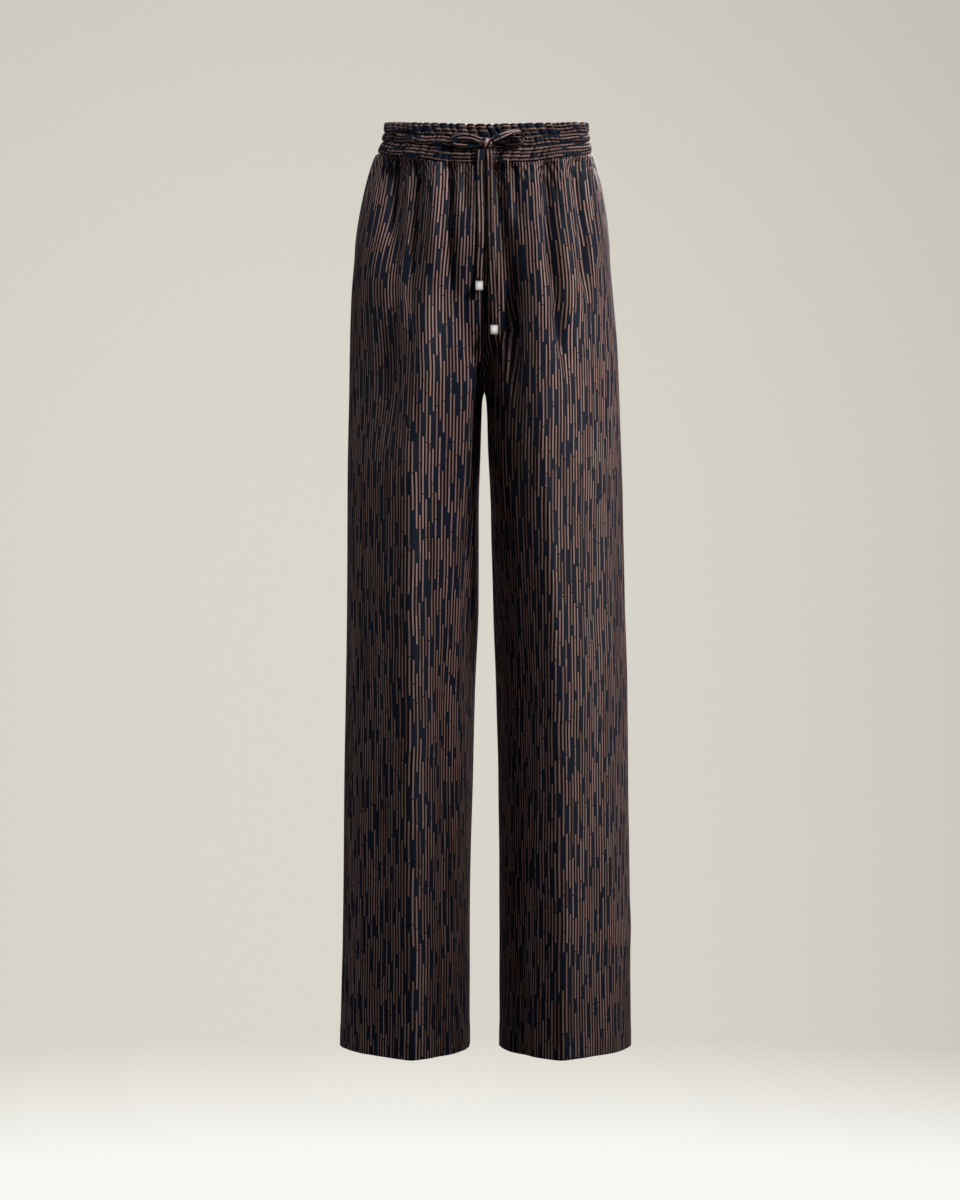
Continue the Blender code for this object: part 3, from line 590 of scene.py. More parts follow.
PRINT_PITCH = 0.0040          # in metres, from one stripe to the next
PRINT_WANDER = 0.006
PRINT_CALM = 0.9
PRINT_CELL = 0.124            # in metres, the length in which a stripe has one gap
CELL_STEP = 0.382             # shares of a cell: each stripe's start against the last
CELL_JITTER = 0.14
GAP_HALF = (0.045, 0.14)      # shares of a cell: the least half gap, and its random part
GAP_MIDDLE = (0.35, 0.3)
END_SHIFT = (0.33, 0.34)
DRAWS = {"start": 3.0, "middle": 5.0, "end": 7.0, "gap": 11.0, "tint": 31.0}
DASH_HALF_WIDTH = 0.185       # shares of the pitch
DASH_UNEVEN = 0.06
LINE_WIDTH = 0.10
NOTCH_LENGTH = 0.0014
WANDER_SCALE = 8.0            # scales of the noises, in waves for each metre
GROUND_SCALE = 38.0
SHADE_SCALE = 9.0
SLUB_SCALE = 260.0
SLUB_NARROWING = 9.0
DULL_PART = 0.7               # the most that a second colour is mixed in
NOTCH_PART = 0.92
SHADE_PART = 0.22
SLUB_ROUGHNESS = 0.12
SHEEN_ROUGHNESS = 0.4
SHEEN_TINT = (0.86, 0.88, 0.95, 1.0)
TWILL_PITCH = 0.00062
TWILL_SLANT = 0.6
THREAD_PITCH = 0.00041
WEAVE_DEPTH = 0.00015


def arithmetic(operation, swapped=False):
    """A method of Value that adds a math node of one operation."""
    def method(self, other):
        first, second = (other, self) if swapped else (self, other)
        return self.nodes.math(operation, first, second)
    return method


class Value:
    """What a shader node gives; arithmetic with it adds the nodes that work it out."""

    def __init__(self, nodes, socket):
        self.nodes = nodes
        self.socket = socket

    __add__ = arithmetic("ADD")
    __sub__ = arithmetic("SUBTRACT")
    __rsub__ = arithmetic("SUBTRACT", swapped=True)
    __mul__ = arithmetic("MULTIPLY")
    __truediv__ = arithmetic("DIVIDE")
    __pow__ = arithmetic("POWER")
    __lt__ = arithmetic("LESS_THAN")
    __gt__ = arithmetic("GREATER_THAN")

    def __abs__(self):
        return self.nodes.math("ABSOLUTE", self)


class Nodes:
    """Small helper that adds shader nodes and links them."""

    def __init__(self, tree):
        self.tree = tree

    def put(self, socket, value):
        if isinstance(value, Value):
            self.tree.links.new(value.socket, socket)
        else:
            socket.default_value = value

    def result(self, node, output=0):
        return Value(self, node.outputs[output])

    def add(self, kind, *values):
        """A new node whose first inputs are given."""
        node = self.tree.nodes.new(kind)
        for socket, value in zip(node.inputs, values):
            self.put(socket, value)
        return node

    def math(self, operation, *values, clamp=False):
        node = self.add("ShaderNodeMath", *values)
        node.operation = operation
        node.use_clamp = clamp
        return self.result(node)

    def vector(self, x, y, z=0.0):
        return self.result(self.add("ShaderNodeCombineXYZ", x, y, z))

    def split(self, vector):
        node = self.add("ShaderNodeSeparateXYZ", vector)
        return [self.result(node, output) for output in range(3)]

    def place(self):
        return self.result(self.add("ShaderNodeTexCoord"), "Object")

    def random(self, x, y, z=0.0):
        """An even random number from 0 to 1 for each whole place."""
        node = self.add("ShaderNodeTexWhiteNoise", self.vector(x, y, z))
        return self.result(node, "Value")

    def mix(self, factor, a, b):
        node = self.tree.nodes.new("ShaderNodeMix")
        node.data_type = "RGBA"
        for number, value in ((0, factor), (6, a), (7, b)):
            self.put(node.inputs[number], value)
        return self.result(node, 2)

    def noise(self, vector, scale, detail=2.0):
        node = self.tree.nodes.new("ShaderNodeTexNoise")
        for name, value in (("Vector", vector), ("Scale", scale), ("Detail", detail)):
            self.put(node.inputs[name], value)
        return self.result(node, "Fac")

    def bump(self, shader, height, strength, distance):
        node = self.tree.nodes.new("ShaderNodeBump")
        for name, value in (("Height", height), ("Strength", strength), ("Distance", distance)):
            self.put(node.inputs[name], value)
        self.put(shader.inputs["Normal"], self.result(node))


def new_material(name):
    """A material, the helper that adds its nodes, and its shader."""
    material = bpy.data.materials.new(name)
    material.use_nodes = True
    nodes = Nodes(material.node_tree)
    return material, nodes, nodes.tree.nodes["Principled BSDF"]


def dash_state(nodes, column, along, gaps):
    """Whether a stripe column has no dash here, whether two of its dashes meet here, and
    a number for the dash's own tint."""
    start = nodes.random(column, DRAWS["start"]) * CELL_JITTER + column * CELL_STEP
    place = along / PRINT_CELL + start
    cell = nodes.math("FLOOR", place)
    inside = place - cell
    middle = nodes.random(column, cell, DRAWS["middle"]) * GAP_MIDDLE[1] + GAP_MIDDLE[0]
    half = nodes.random(column, cell, DRAWS["gap"]) * (GAP_HALF[1] * gaps) + GAP_HALF[0] * gaps
    from_middle = inside - middle
    missing = abs(from_middle) < half
    shift = nodes.random(column, cell, DRAWS["end"]) * END_SHIFT[1] + END_SHIFT[0]
    end = nodes.math("FRACT", middle + shift)
    notch = abs(inside - end) * PRINT_CELL < NOTCH_LENGTH / 2
    dash = cell + (from_middle > 0.0)
    tint = nodes.random(column, dash, (inside > end) + DRAWS["tint"])
    return missing, notch, tint


def printed_colour(nodes, across, along, colours, gaps):
    """The print: broken stripes in uneven browns, fine dark red lines, navy ground."""
    wander = nodes.noise(nodes.vector(across * 0.5, along), WANDER_SCALE)
    across = wander * PRINT_WANDER + across
    place = across / PRINT_PITCH
    column = nodes.math("FLOOR", place)
    inside = place - column - 0.5
    missing, notch, tint = dash_state(nodes, column, along, gaps)
    toward = nodes.math("SIGN", inside)
    next_missing, _, _ = dash_state(nodes, column + toward, along, gaps)
    from_centre = abs(inside)
    wider = nodes.math("FRACT", tint * 13.0)
    in_dash = from_centre < wider * DASH_UNEVEN + (DASH_HALF_WIDTH - DASH_UNEVEN / 2)
    has_dash = 1.0 - missing
    both = has_dash * (1.0 - next_missing)
    outline = has_dash * (from_centre < DASH_HALF_WIDTH + LINE_WIDTH)
    lined = nodes.math("MAXIMUM", both, outline)
    cloudy = nodes.noise(nodes.vector(across, along), GROUND_SCALE)
    ground = nodes.mix(cloudy, colours["navy"], colours["deep_navy"])
    ground = nodes.mix(lined, ground, colours["line"])
    dash = nodes.mix(tint, colours["rose"], colours["tan"])
    dulled = nodes.math("FRACT", tint * 7.0) ** 2.0
    dash = nodes.mix(dulled * DULL_PART, dash, colours["dull"])
    dash = nodes.mix(notch * NOTCH_PART, dash, colours["notch"])
    return nodes.mix(in_dash * has_dash, ground, dash)


def cloth_material(name, colours, roughness, specular, sheen, bump, gaps=1.0):
    """Satin with the print, a fine slanting weave and a soft sheen."""
    material, nodes, shader = new_material(name)
    layer = nodes.add("ShaderNodeUVMap")
    layer.uv_map = "print_map"
    across, along, _ = nodes.split(nodes.result(layer))
    colour = printed_colour(nodes, across, along, colours, gaps)
    uneven = nodes.noise(nodes.vector(across, along), SHADE_SCALE, 3.0)
    colour = nodes.mix(uneven * SHADE_PART, colour, colours["shade"])
    nodes.put(shader.inputs["Base Color"], colour)

    twill = (across + along * TWILL_SLANT) * (2.0 * math.pi / TWILL_PITCH)
    threads = across * (2.0 * math.pi / THREAD_PITCH)
    weave = nodes.math("SINE", twill) + nodes.math("SINE", threads) * 0.5
    slub = nodes.noise(nodes.vector(across * SLUB_NARROWING, along), SLUB_SCALE)
    nodes.bump(shader, weave * 0.25 + slub, bump, WEAVE_DEPTH)
    rough = slub * SLUB_ROUGHNESS + (roughness - SLUB_ROUGHNESS / 2)
    nodes.put(shader.inputs["Roughness"], rough)
    shader.inputs["Specular IOR Level"].default_value = specular
    shader.inputs["Sheen Weight"].default_value = sheen
    shader.inputs["Sheen Roughness"].default_value = SHEEN_ROUGHNESS
    shader.inputs["Sheen Tint"].default_value = SHEEN_TINT
    return material


def rgb(red, green, blue):
    """A display colour, 0 to 255, as the shader's linear colour."""
    values = [c / 255.0 for c in (red, green, blue)]
    linear = [c / 12.92 if c <= 0.04045 else ((c + 0.055) / 1.055) ** 2.4 for c in values]
    return (*linear, 1.0)


def palette(**colours):
    """The print's colours by name, as linear colours."""
    return {name: rgb(*colour) for name, colour in colours.items()}


FACE_COLOURS = palette(
    rose=(219, 182, 184), tan=(215, 179, 163), dull=(112, 82, 80), navy=(35, 46, 70),
    deep_navy=(26, 33, 48), line=(29, 13, 15), notch=(20, 18, 24), shade=(36, 32, 38))
# The waistband's colours are the face print darkened: painted shade that stands in for the
# self-shadowing of the gathered cloth.
BAND_COLOURS_PAINTED_SHADE = palette(
    rose=(176, 142, 145), tan=(172, 141, 128), dull=(92, 68, 67), navy=(32, 42, 66),
    deep_navy=(24, 30, 44), line=(34, 17, 19), notch=(18, 16, 21), shade=(30, 27, 32))
REVERSE_COLOURS = palette(
    rose=(112, 92, 90), tan=(114, 96, 88), dull=(92, 76, 76), navy=(46, 50, 64),
    deep_navy=(42, 45, 56), line=(60, 46, 48), notch=(42, 42, 48), shade=(58, 56, 62))

satin_print = cloth_material("satin_print", FACE_COLOURS, 0.5, 0.16, 0.02, 0.5)
string_print = cloth_material("string_print", FACE_COLOURS, 0.5, 0.16, 0.02, 0.5, gaps=0.4)
# The waistband's material carries the print darkened with painted shade.
shirred_print_painted_shade = cloth_material("shirred_print_painted_shade", BAND_COLOURS_PAINTED_SHADE, 0.5, 0.16, 0.02, 0.5)
satin_reverse = cloth_material("satin_reverse", REVERSE_COLOURS, 0.62, 0.3, 0.15, 0.5)


BRUSHING_SCALE = 5200.0
BRUSHING_STRETCH = (1.0, 1.0, 0.08)
BRUSHING_DEPTH = 0.00005
SMUDGE_SCALE = 420.0
METAL_ROUGHNESS = 0.2
METAL_CLEAN = rgb(240, 238, 232)
METAL_SMUDGED = rgb(222, 219, 212)


def metal_material():
    """Polished metal with faint brushing down its length and smudges."""
    material, nodes, shader = new_material("polished_tip_metal")
    place = nodes.place()
    stretch = nodes.add("ShaderNodeMapping", place)
    stretch.inputs["Scale"].default_value = BRUSHING_STRETCH
    brushing = nodes.noise(nodes.result(stretch), BRUSHING_SCALE)
    smudge = nodes.noise(place, SMUDGE_SCALE, 3.0)
    rough = smudge * 0.12 + (brushing * 0.1 + METAL_ROUGHNESS)
    nodes.put(shader.inputs["Roughness"], rough)
    nodes.put(shader.inputs["Base Color"], nodes.mix(smudge, METAL_CLEAN, METAL_SMUDGED))
    shader.inputs["Metallic"].default_value = 1.0
    nodes.bump(shader, brushing, 0.12, BRUSHING_DEPTH)
    return material


tip_metal = metal_material()


# -------------------------------------------------------------------------- the panels

def panel_rows():
    """Heights at the side seam of a panel's rows, from the waist seam to the hem."""
    gathered = np.linspace(SEAM_AT_SIDE, FIRST_LEVEL, 42)[:-1]
    hip = np.linspace(FIRST_LEVEL, CURVE_TOP, 33)[:-1]
    crotch = CURVE_TOP + (CROTCH_HEIGHT - CURVE_TOP) * np.sin(np.linspace(0, math.pi / 2, 40))
    leg = np.linspace(CROTCH_HEIGHT, HEM_HEIGHT + HEM_ALLOWANCE + 3, 137)[1:]
    hem = np.linspace(HEM_HEIGHT + HEM_ALLOWANCE, HEM_HEIGHT, 13)
    return np.concatenate([gathered, hip, crotch, leg, hem])


def panel_base(side, face):
    """Every point of a panel before the fine detail: share, height and place, and for
    each row how far round it starts and the share of its edge."""
    side_heights = panel_rows()[:, None]
    edge = mouth_share(side_heights) if face == "front" else np.zeros_like(side_heights)
    share = edge + (1.0 - edge) * np.linspace(0.0, 1.0, PANEL_COLUMNS)[None, :]
    top = seam_height(face, share) - SEAM_GAP / 2
    down = (SEAM_AT_SIDE - side_heights) / (SEAM_AT_SIDE - FIRST_LEVEL)
    level = side_heights + np.zeros_like(share)
    height = np.where(side_heights > FIRST_LEVEL, top + (FIRST_LEVEL - top) * down, level)
    x, depth = quarter_point(side, face, share, height)
    x_side, depth_side = quarter_point(side, face, np.zeros_like(edge), height[:, :1])
    start = np.hypot(x[:, :1] - x_side, depth[:, :1] - depth_side)
    return share, height, x, depth, start, edge


def gather_relief(side, face, around, below):
    """Fine gathers that run down from the waist seam, uneven in length and spacing."""
    dice = np.random.default_rng(GATHER_SEEDS[(side, face)])
    deeper = GATHER_DEEPER.get((side, face), 1.0)
    relief = np.zeros_like(around)
    place = dice.uniform(*GATHER_FIRST)
    while place < GATHER_REACH:
        length = dice.uniform(*GATHER_LENGTH)
        if dice.random() < GATHER_LONG[0]:
            length *= GATHER_LONG[1]
        depth = dice.uniform(*GATHER_DEPTH) * deeper
        width = dice.uniform(*GATHER_WIDTH)
        lean = dice.uniform(*GATHER_LEAN)
        line = place + lean * below + 0.9 * np.sin(below / 13.0 + place)
        fade = smooth_step(1.0 - below / length)
        sharp = np.exp(-np.abs((around - line) / width) ** 1.4)
        shoulder = bell((around - line) / (2.6 * width))
        relief += depth * fade * (0.3 * shoulder - sharp)
        place += dice.uniform(*GATHER_SPACING)
    return relief


def crease_relief(side, face, around, height):
    """The listed creases."""
    relief = np.zeros_like(around)
    for crease in CREASES[(side, face)]:
        along = (height - crease.height) / (crease.length / 2)
        line = (crease.round + crease.lean * (height - crease.height)
                + crease.bow * (along**2 - 0.5) * (np.abs(along) < 1.5))
        fade = smooth_step(1.0 - np.abs(along))
        relief += crease.depth * fade * bell((around - line) / crease.width)
    return relief


def drape_relief(side, face, around, height):
    """Slow unevenness of hanging satin, fading in and out down its length."""
    turn = DRAPE_TURNS[side] + DRAPE_TURNS[face]
    down = -height
    sway = 9.0 * np.sin(down / 173.0 + turn)
    relief = 0.55 * np.sin((around + sway) / 8.9 + turn) * np.sin(down / 121.0 + 1.7 * turn)
    relief += 0.5 * np.sin((around - sway) / 14.7 - turn) * np.sin(down / 207.0 + turn)
    relief += 0.18 * np.sin(down / 17.0 + around / 23.0 + turn) * np.sin(around / 31.0 + turn)
    return relief * smooth_step((down - 150.0) / 160.0)


def hem_relief(around, height, seed):
    """The turned-up hem: a little thicker, with faint dimples at its blind stitches."""
    up = height - HEM_HEIGHT
    swell = HEM_SWELL * smooth_step((HEM_ALLOWANCE + 1.5 - up) / 3.0)
    stitch = bell((up - HEM_ALLOWANCE + 2.0) / 1.6)
    along = around * 2.0 * math.pi / HEM_STITCH_PITCH
    dimple = 0.5 + 0.5 * np.sin(along + 1.2 * np.sin(around / 21.0 + seed))
    pull = 0.35 * np.sin(around / 5.2 + seed) * np.sin(around / 13.1)
    return swell - 0.4 * stitch * dimple**3 + pull * smooth_step(1.0 - up / 40.0)


def seam_relief(around, width, edge):
    """Dips where a panel's long edges are sewn to its neighbours."""
    sewn = smooth_step(1.0 - edge / MOUTH_SHARE * 5.0)
    at_side = bell(around / SEAM_DIP_WIDTH) * sewn
    at_centre = bell((width - around) / SEAM_DIP_WIDTH)
    return -SEAM_DIP * (at_side + at_centre)


def mouth_relief(around, start, edge):
    """The pocket mouth: a rounded folded edge and the groove of its stitching."""
    open_part = smooth_step(edge / MOUTH_SHARE * 5.0)
    from_edge = around - start
    groove = 0.45 * bell((from_edge - MOUTH_STITCH) / 1.3)
    return (0.5 * bell(from_edge / 3.4) - groove) * open_part


def panel_print(side, face, height, x, around):
    """UV in metres: across the stripes from the plumb grain line, and down the cloth."""
    near_waist = smooth_step((height - CLOSING_FROM[0]) / CLOSING_FROM[1])
    step = np.diff(around, axis=1)
    facing = np.abs(np.diff(x, axis=1)) / np.maximum(step, 1e-6)
    down_leg = smooth_step((FLAT_FROM[0] - height) / FLAT_FROM[1])[:, 1:]
    gathered = 1.0 + WAIST_CLOSING * near_waist
    inner_rate = np.maximum(PRINT_EASE * facing * (1.0 - down_leg) + down_leg, PRINT_LEAST)
    outer_part = smooth_step((x[:, 1:] - GRAIN_LINE) / 16.0 + 0.5)
    rate = (inner_rate + (1.0 - inner_rate) * outer_part) * gathered[:, 1:]
    across = round_from(around[:, :1], step * rate)
    plumb = np.array([np.interp(GRAIN_LINE, x[i][::-1], across[i][::-1])
                      for i in range(len(x))])[:, None]
    plumb = plumb + PRINT_EASE * GRAIN_LINE * (gathered[:, -1:] - 1.0)
    shift = PRINT_SHIFTS[side] + PRINT_SHIFTS[face]
    return np.stack([(across - plumb) * MM + shift, height * MM], axis=-1)


def pin_edges(side, face, points, height, around, width, edge):
    """Bring a panel's long edges onto the planes where they are sewn together."""
    near_centre = bell((width - around) / PIN_WIDTH)
    above = height[:, -1] > CROTCH_HEIGHT
    gap_x = SIDES[side] * EDGE_CLEARANCE - points[:, -1, 0]
    gap_y = FACES[face] * EDGE_CLEARANCE - points[:, -1, 1]
    points[..., 0] += (gap_x * above)[:, None] * near_centre
    points[..., 1] += (gap_y * ~above)[:, None] * near_centre
    near_side = bell(around / PIN_WIDTH)
    gap = (FACES[face] * EDGE_CLEARANCE - points[:, 0, 1]) * (edge[:, 0] < 1e-6)
    points[..., 1] += gap[:, None] * near_side


def make_panel(side, face):
    """One panel as a thin shell on the form, with gathers, creases, hem and seams."""
    share, height, x, depth, start, edge = panel_base(side, face)
    step = steps_round(x, depth)
    around = round_from(start, step)
    width = around[:, -1:]
    below = seam_height(face, share) - height

    base = placed(side, face, x, depth, height)
    normal = outward_normals(base)
    relief = gather_relief(side, face, around, below)
    relief += crease_relief(side, face, around, height)
    relief += drape_relief(side, face, around, height)
    relief *= smooth_step(around / 9.0) * smooth_step((width - around) / 9.0)
    relief += hem_relief(around, height, SIDES[side] + 2.0 * FACES[face])
    relief += seam_relief(around, width, edge)
    if face == "front":
        relief += mouth_relief(around, start, edge)
    tucked = smooth_step(1.0 - below / TUCK[0])
    relief = relief * (1.0 - tucked) - TUCK[1] * tucked

    outer = base + normal * relief[..., None]
    outer[..., 2] += TOP_LIFT[1] * np.clip(1.0 - below / TOP_LIFT[0], 0.0, 1.0)
    pin_edges(side, face, outer, height, around, width, edge)
    if face == "front":
        even = np.linspace(0.0, 1.0, PANEL_COLUMNS)[None, :]
        lift = MOUTH_LIFT * smooth_step(edge / MOUTH_SHARE * 4.0)
        outer[..., 0] += SIDES[side] * lift * np.clip(1.0 - even * 10.0, 0.0, 1.0)
    doubled = smooth_step((HEM_HEIGHT + HEM_ALLOWANCE - height) / 2.0)
    thick = CLOTH_THICKNESS * (1.0 + doubled)
    inner = outer - normal * thick[..., None]
    for grid in (outer, inner):
        keep_clear(grid, 0, SIDES[side])
        keep_clear(grid, 1, FACES[face])
    calm_x, calm_depth = section(side, face, share, height)
    calm_step = steps_round(calm_x, calm_depth)
    printed = round_from(start, step + PRINT_CALM * (calm_step - step))
    uv = panel_print(side, face, height, x + PRINT_CALM * (calm_x - x), printed)
    piece = shell_object(f"{face}_{side}_cloth", outer, inner, uv, [satin_print, satin_reverse])
    dress(piece, f"{face}_{side}")


def make_pocket_facing(side):
    """The strip behind a slanted pocket mouth, sewn flush at the side seam."""
    rows = 90
    columns = 26
    even = np.linspace(0.0, 1.0, columns)[None, :]
    down = np.linspace(0.0, 1.0, rows)[:, None]
    edge = mouth_share(SEAM_AT_SIDE + (FACING_BOTTOM - SEAM_AT_SIDE) * down)
    share = (edge + FACING_OVERLAP) * even
    top = seam_height("front", share) - SEAM_GAP / 2
    height = top + (FACING_BOTTOM - top) * down
    x, depth = quarter_point(side, "front", share, height)
    base = placed(side, "front", x, depth, height)
    normal = outward_normals(base)
    open_part = smooth_step(edge / MOUTH_SHARE * 6.0)
    sunk = smooth_step(share / np.maximum(edge, 1e-3))
    inset = FACING_DEPTH * (1.0 - open_part + open_part * sunk)
    outer = base - normal * inset[..., None]
    inner = outer - normal * CLOTH_THICKNESS
    for grid in (outer, inner):
        keep_clear(grid, 1, FACES["front"])
    around = round_from(np.zeros((rows, 1)), steps_round(x, depth))
    shift = PRINT_SHIFTS["facing"] + SIDES[side]
    uv = np.stack([around * MM + shift, height * MM], axis=-1)
    piece = shell_object(f"pocket_facing_{side}_cloth", outer, inner, uv,
                         [satin_print, satin_reverse])
    dress(piece, f"pocket_facing_{side}")


# ----------------------------------------------------------------------- the waistband

def band_ring(face, along, row_share):
    """Place and outward normal of one level of the waistband, right side to left."""
    share = 1.0 - np.abs(along)
    result = []
    for side in SIDES:
        top = rim_height(face, share)
        bottom = seam_height(face, share) + SEAM_GAP / 2
        height = top + (bottom - top) * row_share
        x, depth = section(side, face, share, height)
        x_next, depth_next = section(side, face, share + SHARE_STEP, height)
        length = np.hypot(x_next - x, depth_next - depth)
        out_x = SIDES[side] * (depth_next - depth) / length
        out_y = -FACES[face] * (x_next - x) / length
        normal = np.stack([out_x, out_y, np.zeros_like(x)], axis=-1)
        result.append((placed(side, face, x, depth, height), normal))
    left_part = (along > 0.0)[:, None]
    point = np.where(left_part, result[1][0], result[0][0])
    normal = np.where(left_part, result[1][1], result[0][1])
    middle = np.argmin(np.abs(along))
    point[middle] = (result[0][0][middle] + result[1][0][middle]) / 2
    normal[middle] = (0.0, FACES[face], 0.0)
    return point, normal


def puff(place, pitch, sharpness):
    """Rounded gathers with narrow valleys between them, 0 in a valley to 1 on top."""
    return np.abs(np.sin(place * math.pi / pitch)) ** sharpness


def gather_slits(face, length):
    """Slits between the gathers of every row: place, slant, depth, width and middle."""
    dice = np.random.default_rng(SLIT_SEEDS[face])
    rows = []
    for row in SHIRR_ROWS:
        slits = []
        place = dice.uniform(1.0, row.spacing)
        while place < length:
            slits.append((place, row.slant + dice.normal(0.0, 0.13),
                          row.depth * dice.uniform(0.4, 1.12), row.width * dice.uniform(0.8, 1.25),
                          dice.uniform(0.3, 0.7)))
            place += row.spacing * dice.uniform(0.5, 1.5)
        rows.append(slits)
    return rows


def shirring(slits, around, row_share):
    """The shirred cloth at one level: stand-off, rise, slide over the slits, print shifts."""
    for index, row in enumerate(SHIRR_ROWS):
        if row_share <= row.bottom or index == len(SHIRR_ROWS) - 1:
            break
    row_height = (row.bottom - row.top) * BAND_HEIGHT
    inside = (row_share - row.top) / (row.bottom - row.top)
    down = (inside - 0.5) * row_height
    swell = math.sin(math.pi * min(inside, 1.0 - inside)) ** 0.6
    below, above = (1.0 - inside) * row_height, inside * row_height
    pinch = bell(below / PINCH_WIDTH) + bell(above / PINCH_WIDTH)
    at_rim = index == 0 and inside < 0.5
    if at_rim:
        swell = 0.8 + 0.2 * swell
        pinch = PINCH_AT_RIM
    uneven = 1.0 + 0.16 * np.sin(around / 15.0 + index) + 0.1 * np.sin(around / 6.1 + 2.0 * index)
    offset = STITCH_STAND_OFF + (row.swell - STITCH_STAND_OFF) * swell * uneven
    notch = np.zeros_like(around)
    hidden = np.zeros_like(around)
    jitter = np.zeros_like(around)
    slide = np.zeros_like(around)
    for number, (place, slant, depth, width, middle) in enumerate(slits[index]):
        away = around - place - slant * down
        reach = 0.45 + 0.55 * bell((inside - middle) / 0.36)
        reach = max(reach, 0.9) if at_rim else reach
        sharp = np.exp(-np.abs(away / width) ** 1.5)
        offset -= depth * reach * (0.74 * sharp + 0.26 * bell(away / 3.4))
        notch += depth / row.depth * bell(away / 1.7)
        slide -= SLIT_OVERHANG * reach * depth / row.depth * bell((away - 1.0) / 1.2)
        passed = 0.5 + 0.5 * np.tanh(away / 0.6)
        hidden += passed * (2.2 + 1.4 * math.sin(5.0 * number))
        jitter += passed * 0.55 * math.sin(7.0 * number + index)
    crimp = puff(around + 1.1 * np.sin(around / 7.3 + index), CRIMP_PITCH, 0.75)
    offset -= CRIMP_DEPTH * (1.0 - crimp) * (0.4 + 0.6 * min(pinch, 1.0))
    jitter += 0.5 * (crimp - 0.5) * min(pinch, 1.0)
    rise = (0.7 - 1.9 * np.minimum(notch, 1.0)) * (1.0 - inside) ** 2 if index == 0 else 0.0
    return np.clip(offset, 1.2 - BAND_INNER, BAND_SWELL), rise, slide, hidden, jitter


def make_waistband(face):
    """One shirred half of the waistband: outside, rolled rim, inside and lower edge."""
    along = np.linspace(-1.0, 1.0, BAND_COLUMNS)
    middle, _ = band_ring(face, along, 0.5)
    around = path_length(middle[:, :2])
    slits = gather_slits(face, around[-1])
    first, second = SHIRR_ROWS[0].bottom, SHIRR_ROWS[1].bottom
    outside = np.concatenate([np.linspace(0.0, first, 17), np.linspace(first + 0.015, second, 16),
                              np.linspace(second + 0.015, 1.0, 21)])
    near_end = smooth_step(np.minimum(around, around[-1] - around) / 3.0)
    flat_print = around * 1.1
    rows = []
    prints = []
    for share in outside[::-1]:
        point, normal = band_ring(face, along, share)
        offset, rise, slide, hidden, jitter = shirring(slits, around, share)
        tangent = unit(np.gradient(point, axis=0))
        offset = offset - 1.2 * (1.0 - near_end)
        if share == 1.0:
            offset = np.full_like(offset, -2.2)
        level = point + normal * offset[:, None] + tangent * (slide * near_end)[:, None]
        level[:, 2] += rise
        rows.append(level)
        prints.append((share * BAND_HEIGHT + jitter, flat_print + hidden))
    rim_outer = rows[-1]
    point, normal = band_ring(face, along, 0.0)
    inner_offset = -BAND_INNER + 0.5 * puff(around + 2.0, INNER_PITCH, 0.7)
    inner_rim = point + normal * inner_offset[:, None]
    inner_rim[:, 2] += rim_outer[:, 2] - point[:, 2] - 0.4
    for turn in (0.2, 0.42, 0.64, 0.84):
        bridge = rim_outer + (inner_rim - rim_outer) * turn
        bridge[:, 2] += 1.0 * math.sin(turn * math.pi)
        rows.append(bridge)
        prints.append((prints[-1][0] - 1.0, prints[-1][1]))
    for share in np.linspace(0.0, 1.0, 24):
        point, normal = band_ring(face, along, share)
        pinch = bell((share - first) / 0.05) + bell((share - second) / 0.05)
        relief = 0.9 * puff(around + 2.0 + 3.0 * share, INNER_PITCH, 0.7) * (1.0 - 0.5 * pinch)
        offset = -BAND_INNER - relief + 0.8 * pinch
        rows.append(point + normal * offset[:, None] if share > 0.0 else inner_rim)
        prints.append((-4.0 - share * BAND_HEIGHT + 0.0 * around, flat_print * 1.4))
    grid = np.array(rows)
    keep_clear(grid, 1, FACES[face])
    count, columns = grid.shape[:2]
    faces = grid_faces(count, columns).tolist()
    index = np.arange(count * columns).reshape(count, columns)
    for j in range(columns - 1):
        faces.append([index[-1, j], index[0, j], index[0, j + 1], index[-1, j + 1]])
    faces.append(index[:, 0].tolist()[::-1])
    faces.append(index[:, -1].tolist())
    uv = np.stack([np.array([across for across, _ in prints]),
                   np.array([run for _, run in prints])], axis=-1) * MM
    uv[..., 0] += PRINT_SHIFTS[f"waistband_{face}"]
    # The waistband wears the print darkened with painted shade for its gathers.
    piece = mesh_object(f"waistband_{face}_shirred", grid.reshape(-1, 3), faces,
                        [shirred_print_painted_shade], uv=uv.reshape(-1, 2))
    turn_outward(piece)
    dress(piece, f"waistband_{face}")


# ---------------------------------------------------------------------- the drawstring

def curve_through(points, count):
    """Points on a smooth curve through the given ones (Catmull-Rom, even in length)."""
    points = np.array(points, dtype=float)
    padded = np.vstack([2 * points[0] - points[1], points, 2 * points[-1] - points[-2]])
    fine = []
    for i in range(1, len(padded) - 2):
        p0, p1, p2, p3 = padded[i - 1:i + 3]
        for t in np.linspace(0.0, 1.0, 12, endpoint=False):
            fine.append(0.5 * (2 * p1 + (p2 - p0) * t + (2 * p0 - 5 * p1 + 4 * p2 - p3) * t**2
                               + (3 * p1 - p0 - 3 * p2 + p3) * t**3))
    fine.append(points[-1])
    fine = np.array(fine)
    length = path_length(fine[:, :3])
    even = np.linspace(0.0, length[-1], count)
    return np.stack([np.interp(even, length, column) for column in fine.T], axis=-1)


def string_path(route, count):
    """World points of a drawstring route off the front cloth, and its roll at each."""
    points = [(p.x, cloth_front(p.x, p.height) - p.stand_off, p.height, p.roll) for p in route]
    path = curve_through(points, count)
    return path[:, :3], np.radians(path[:, 3])


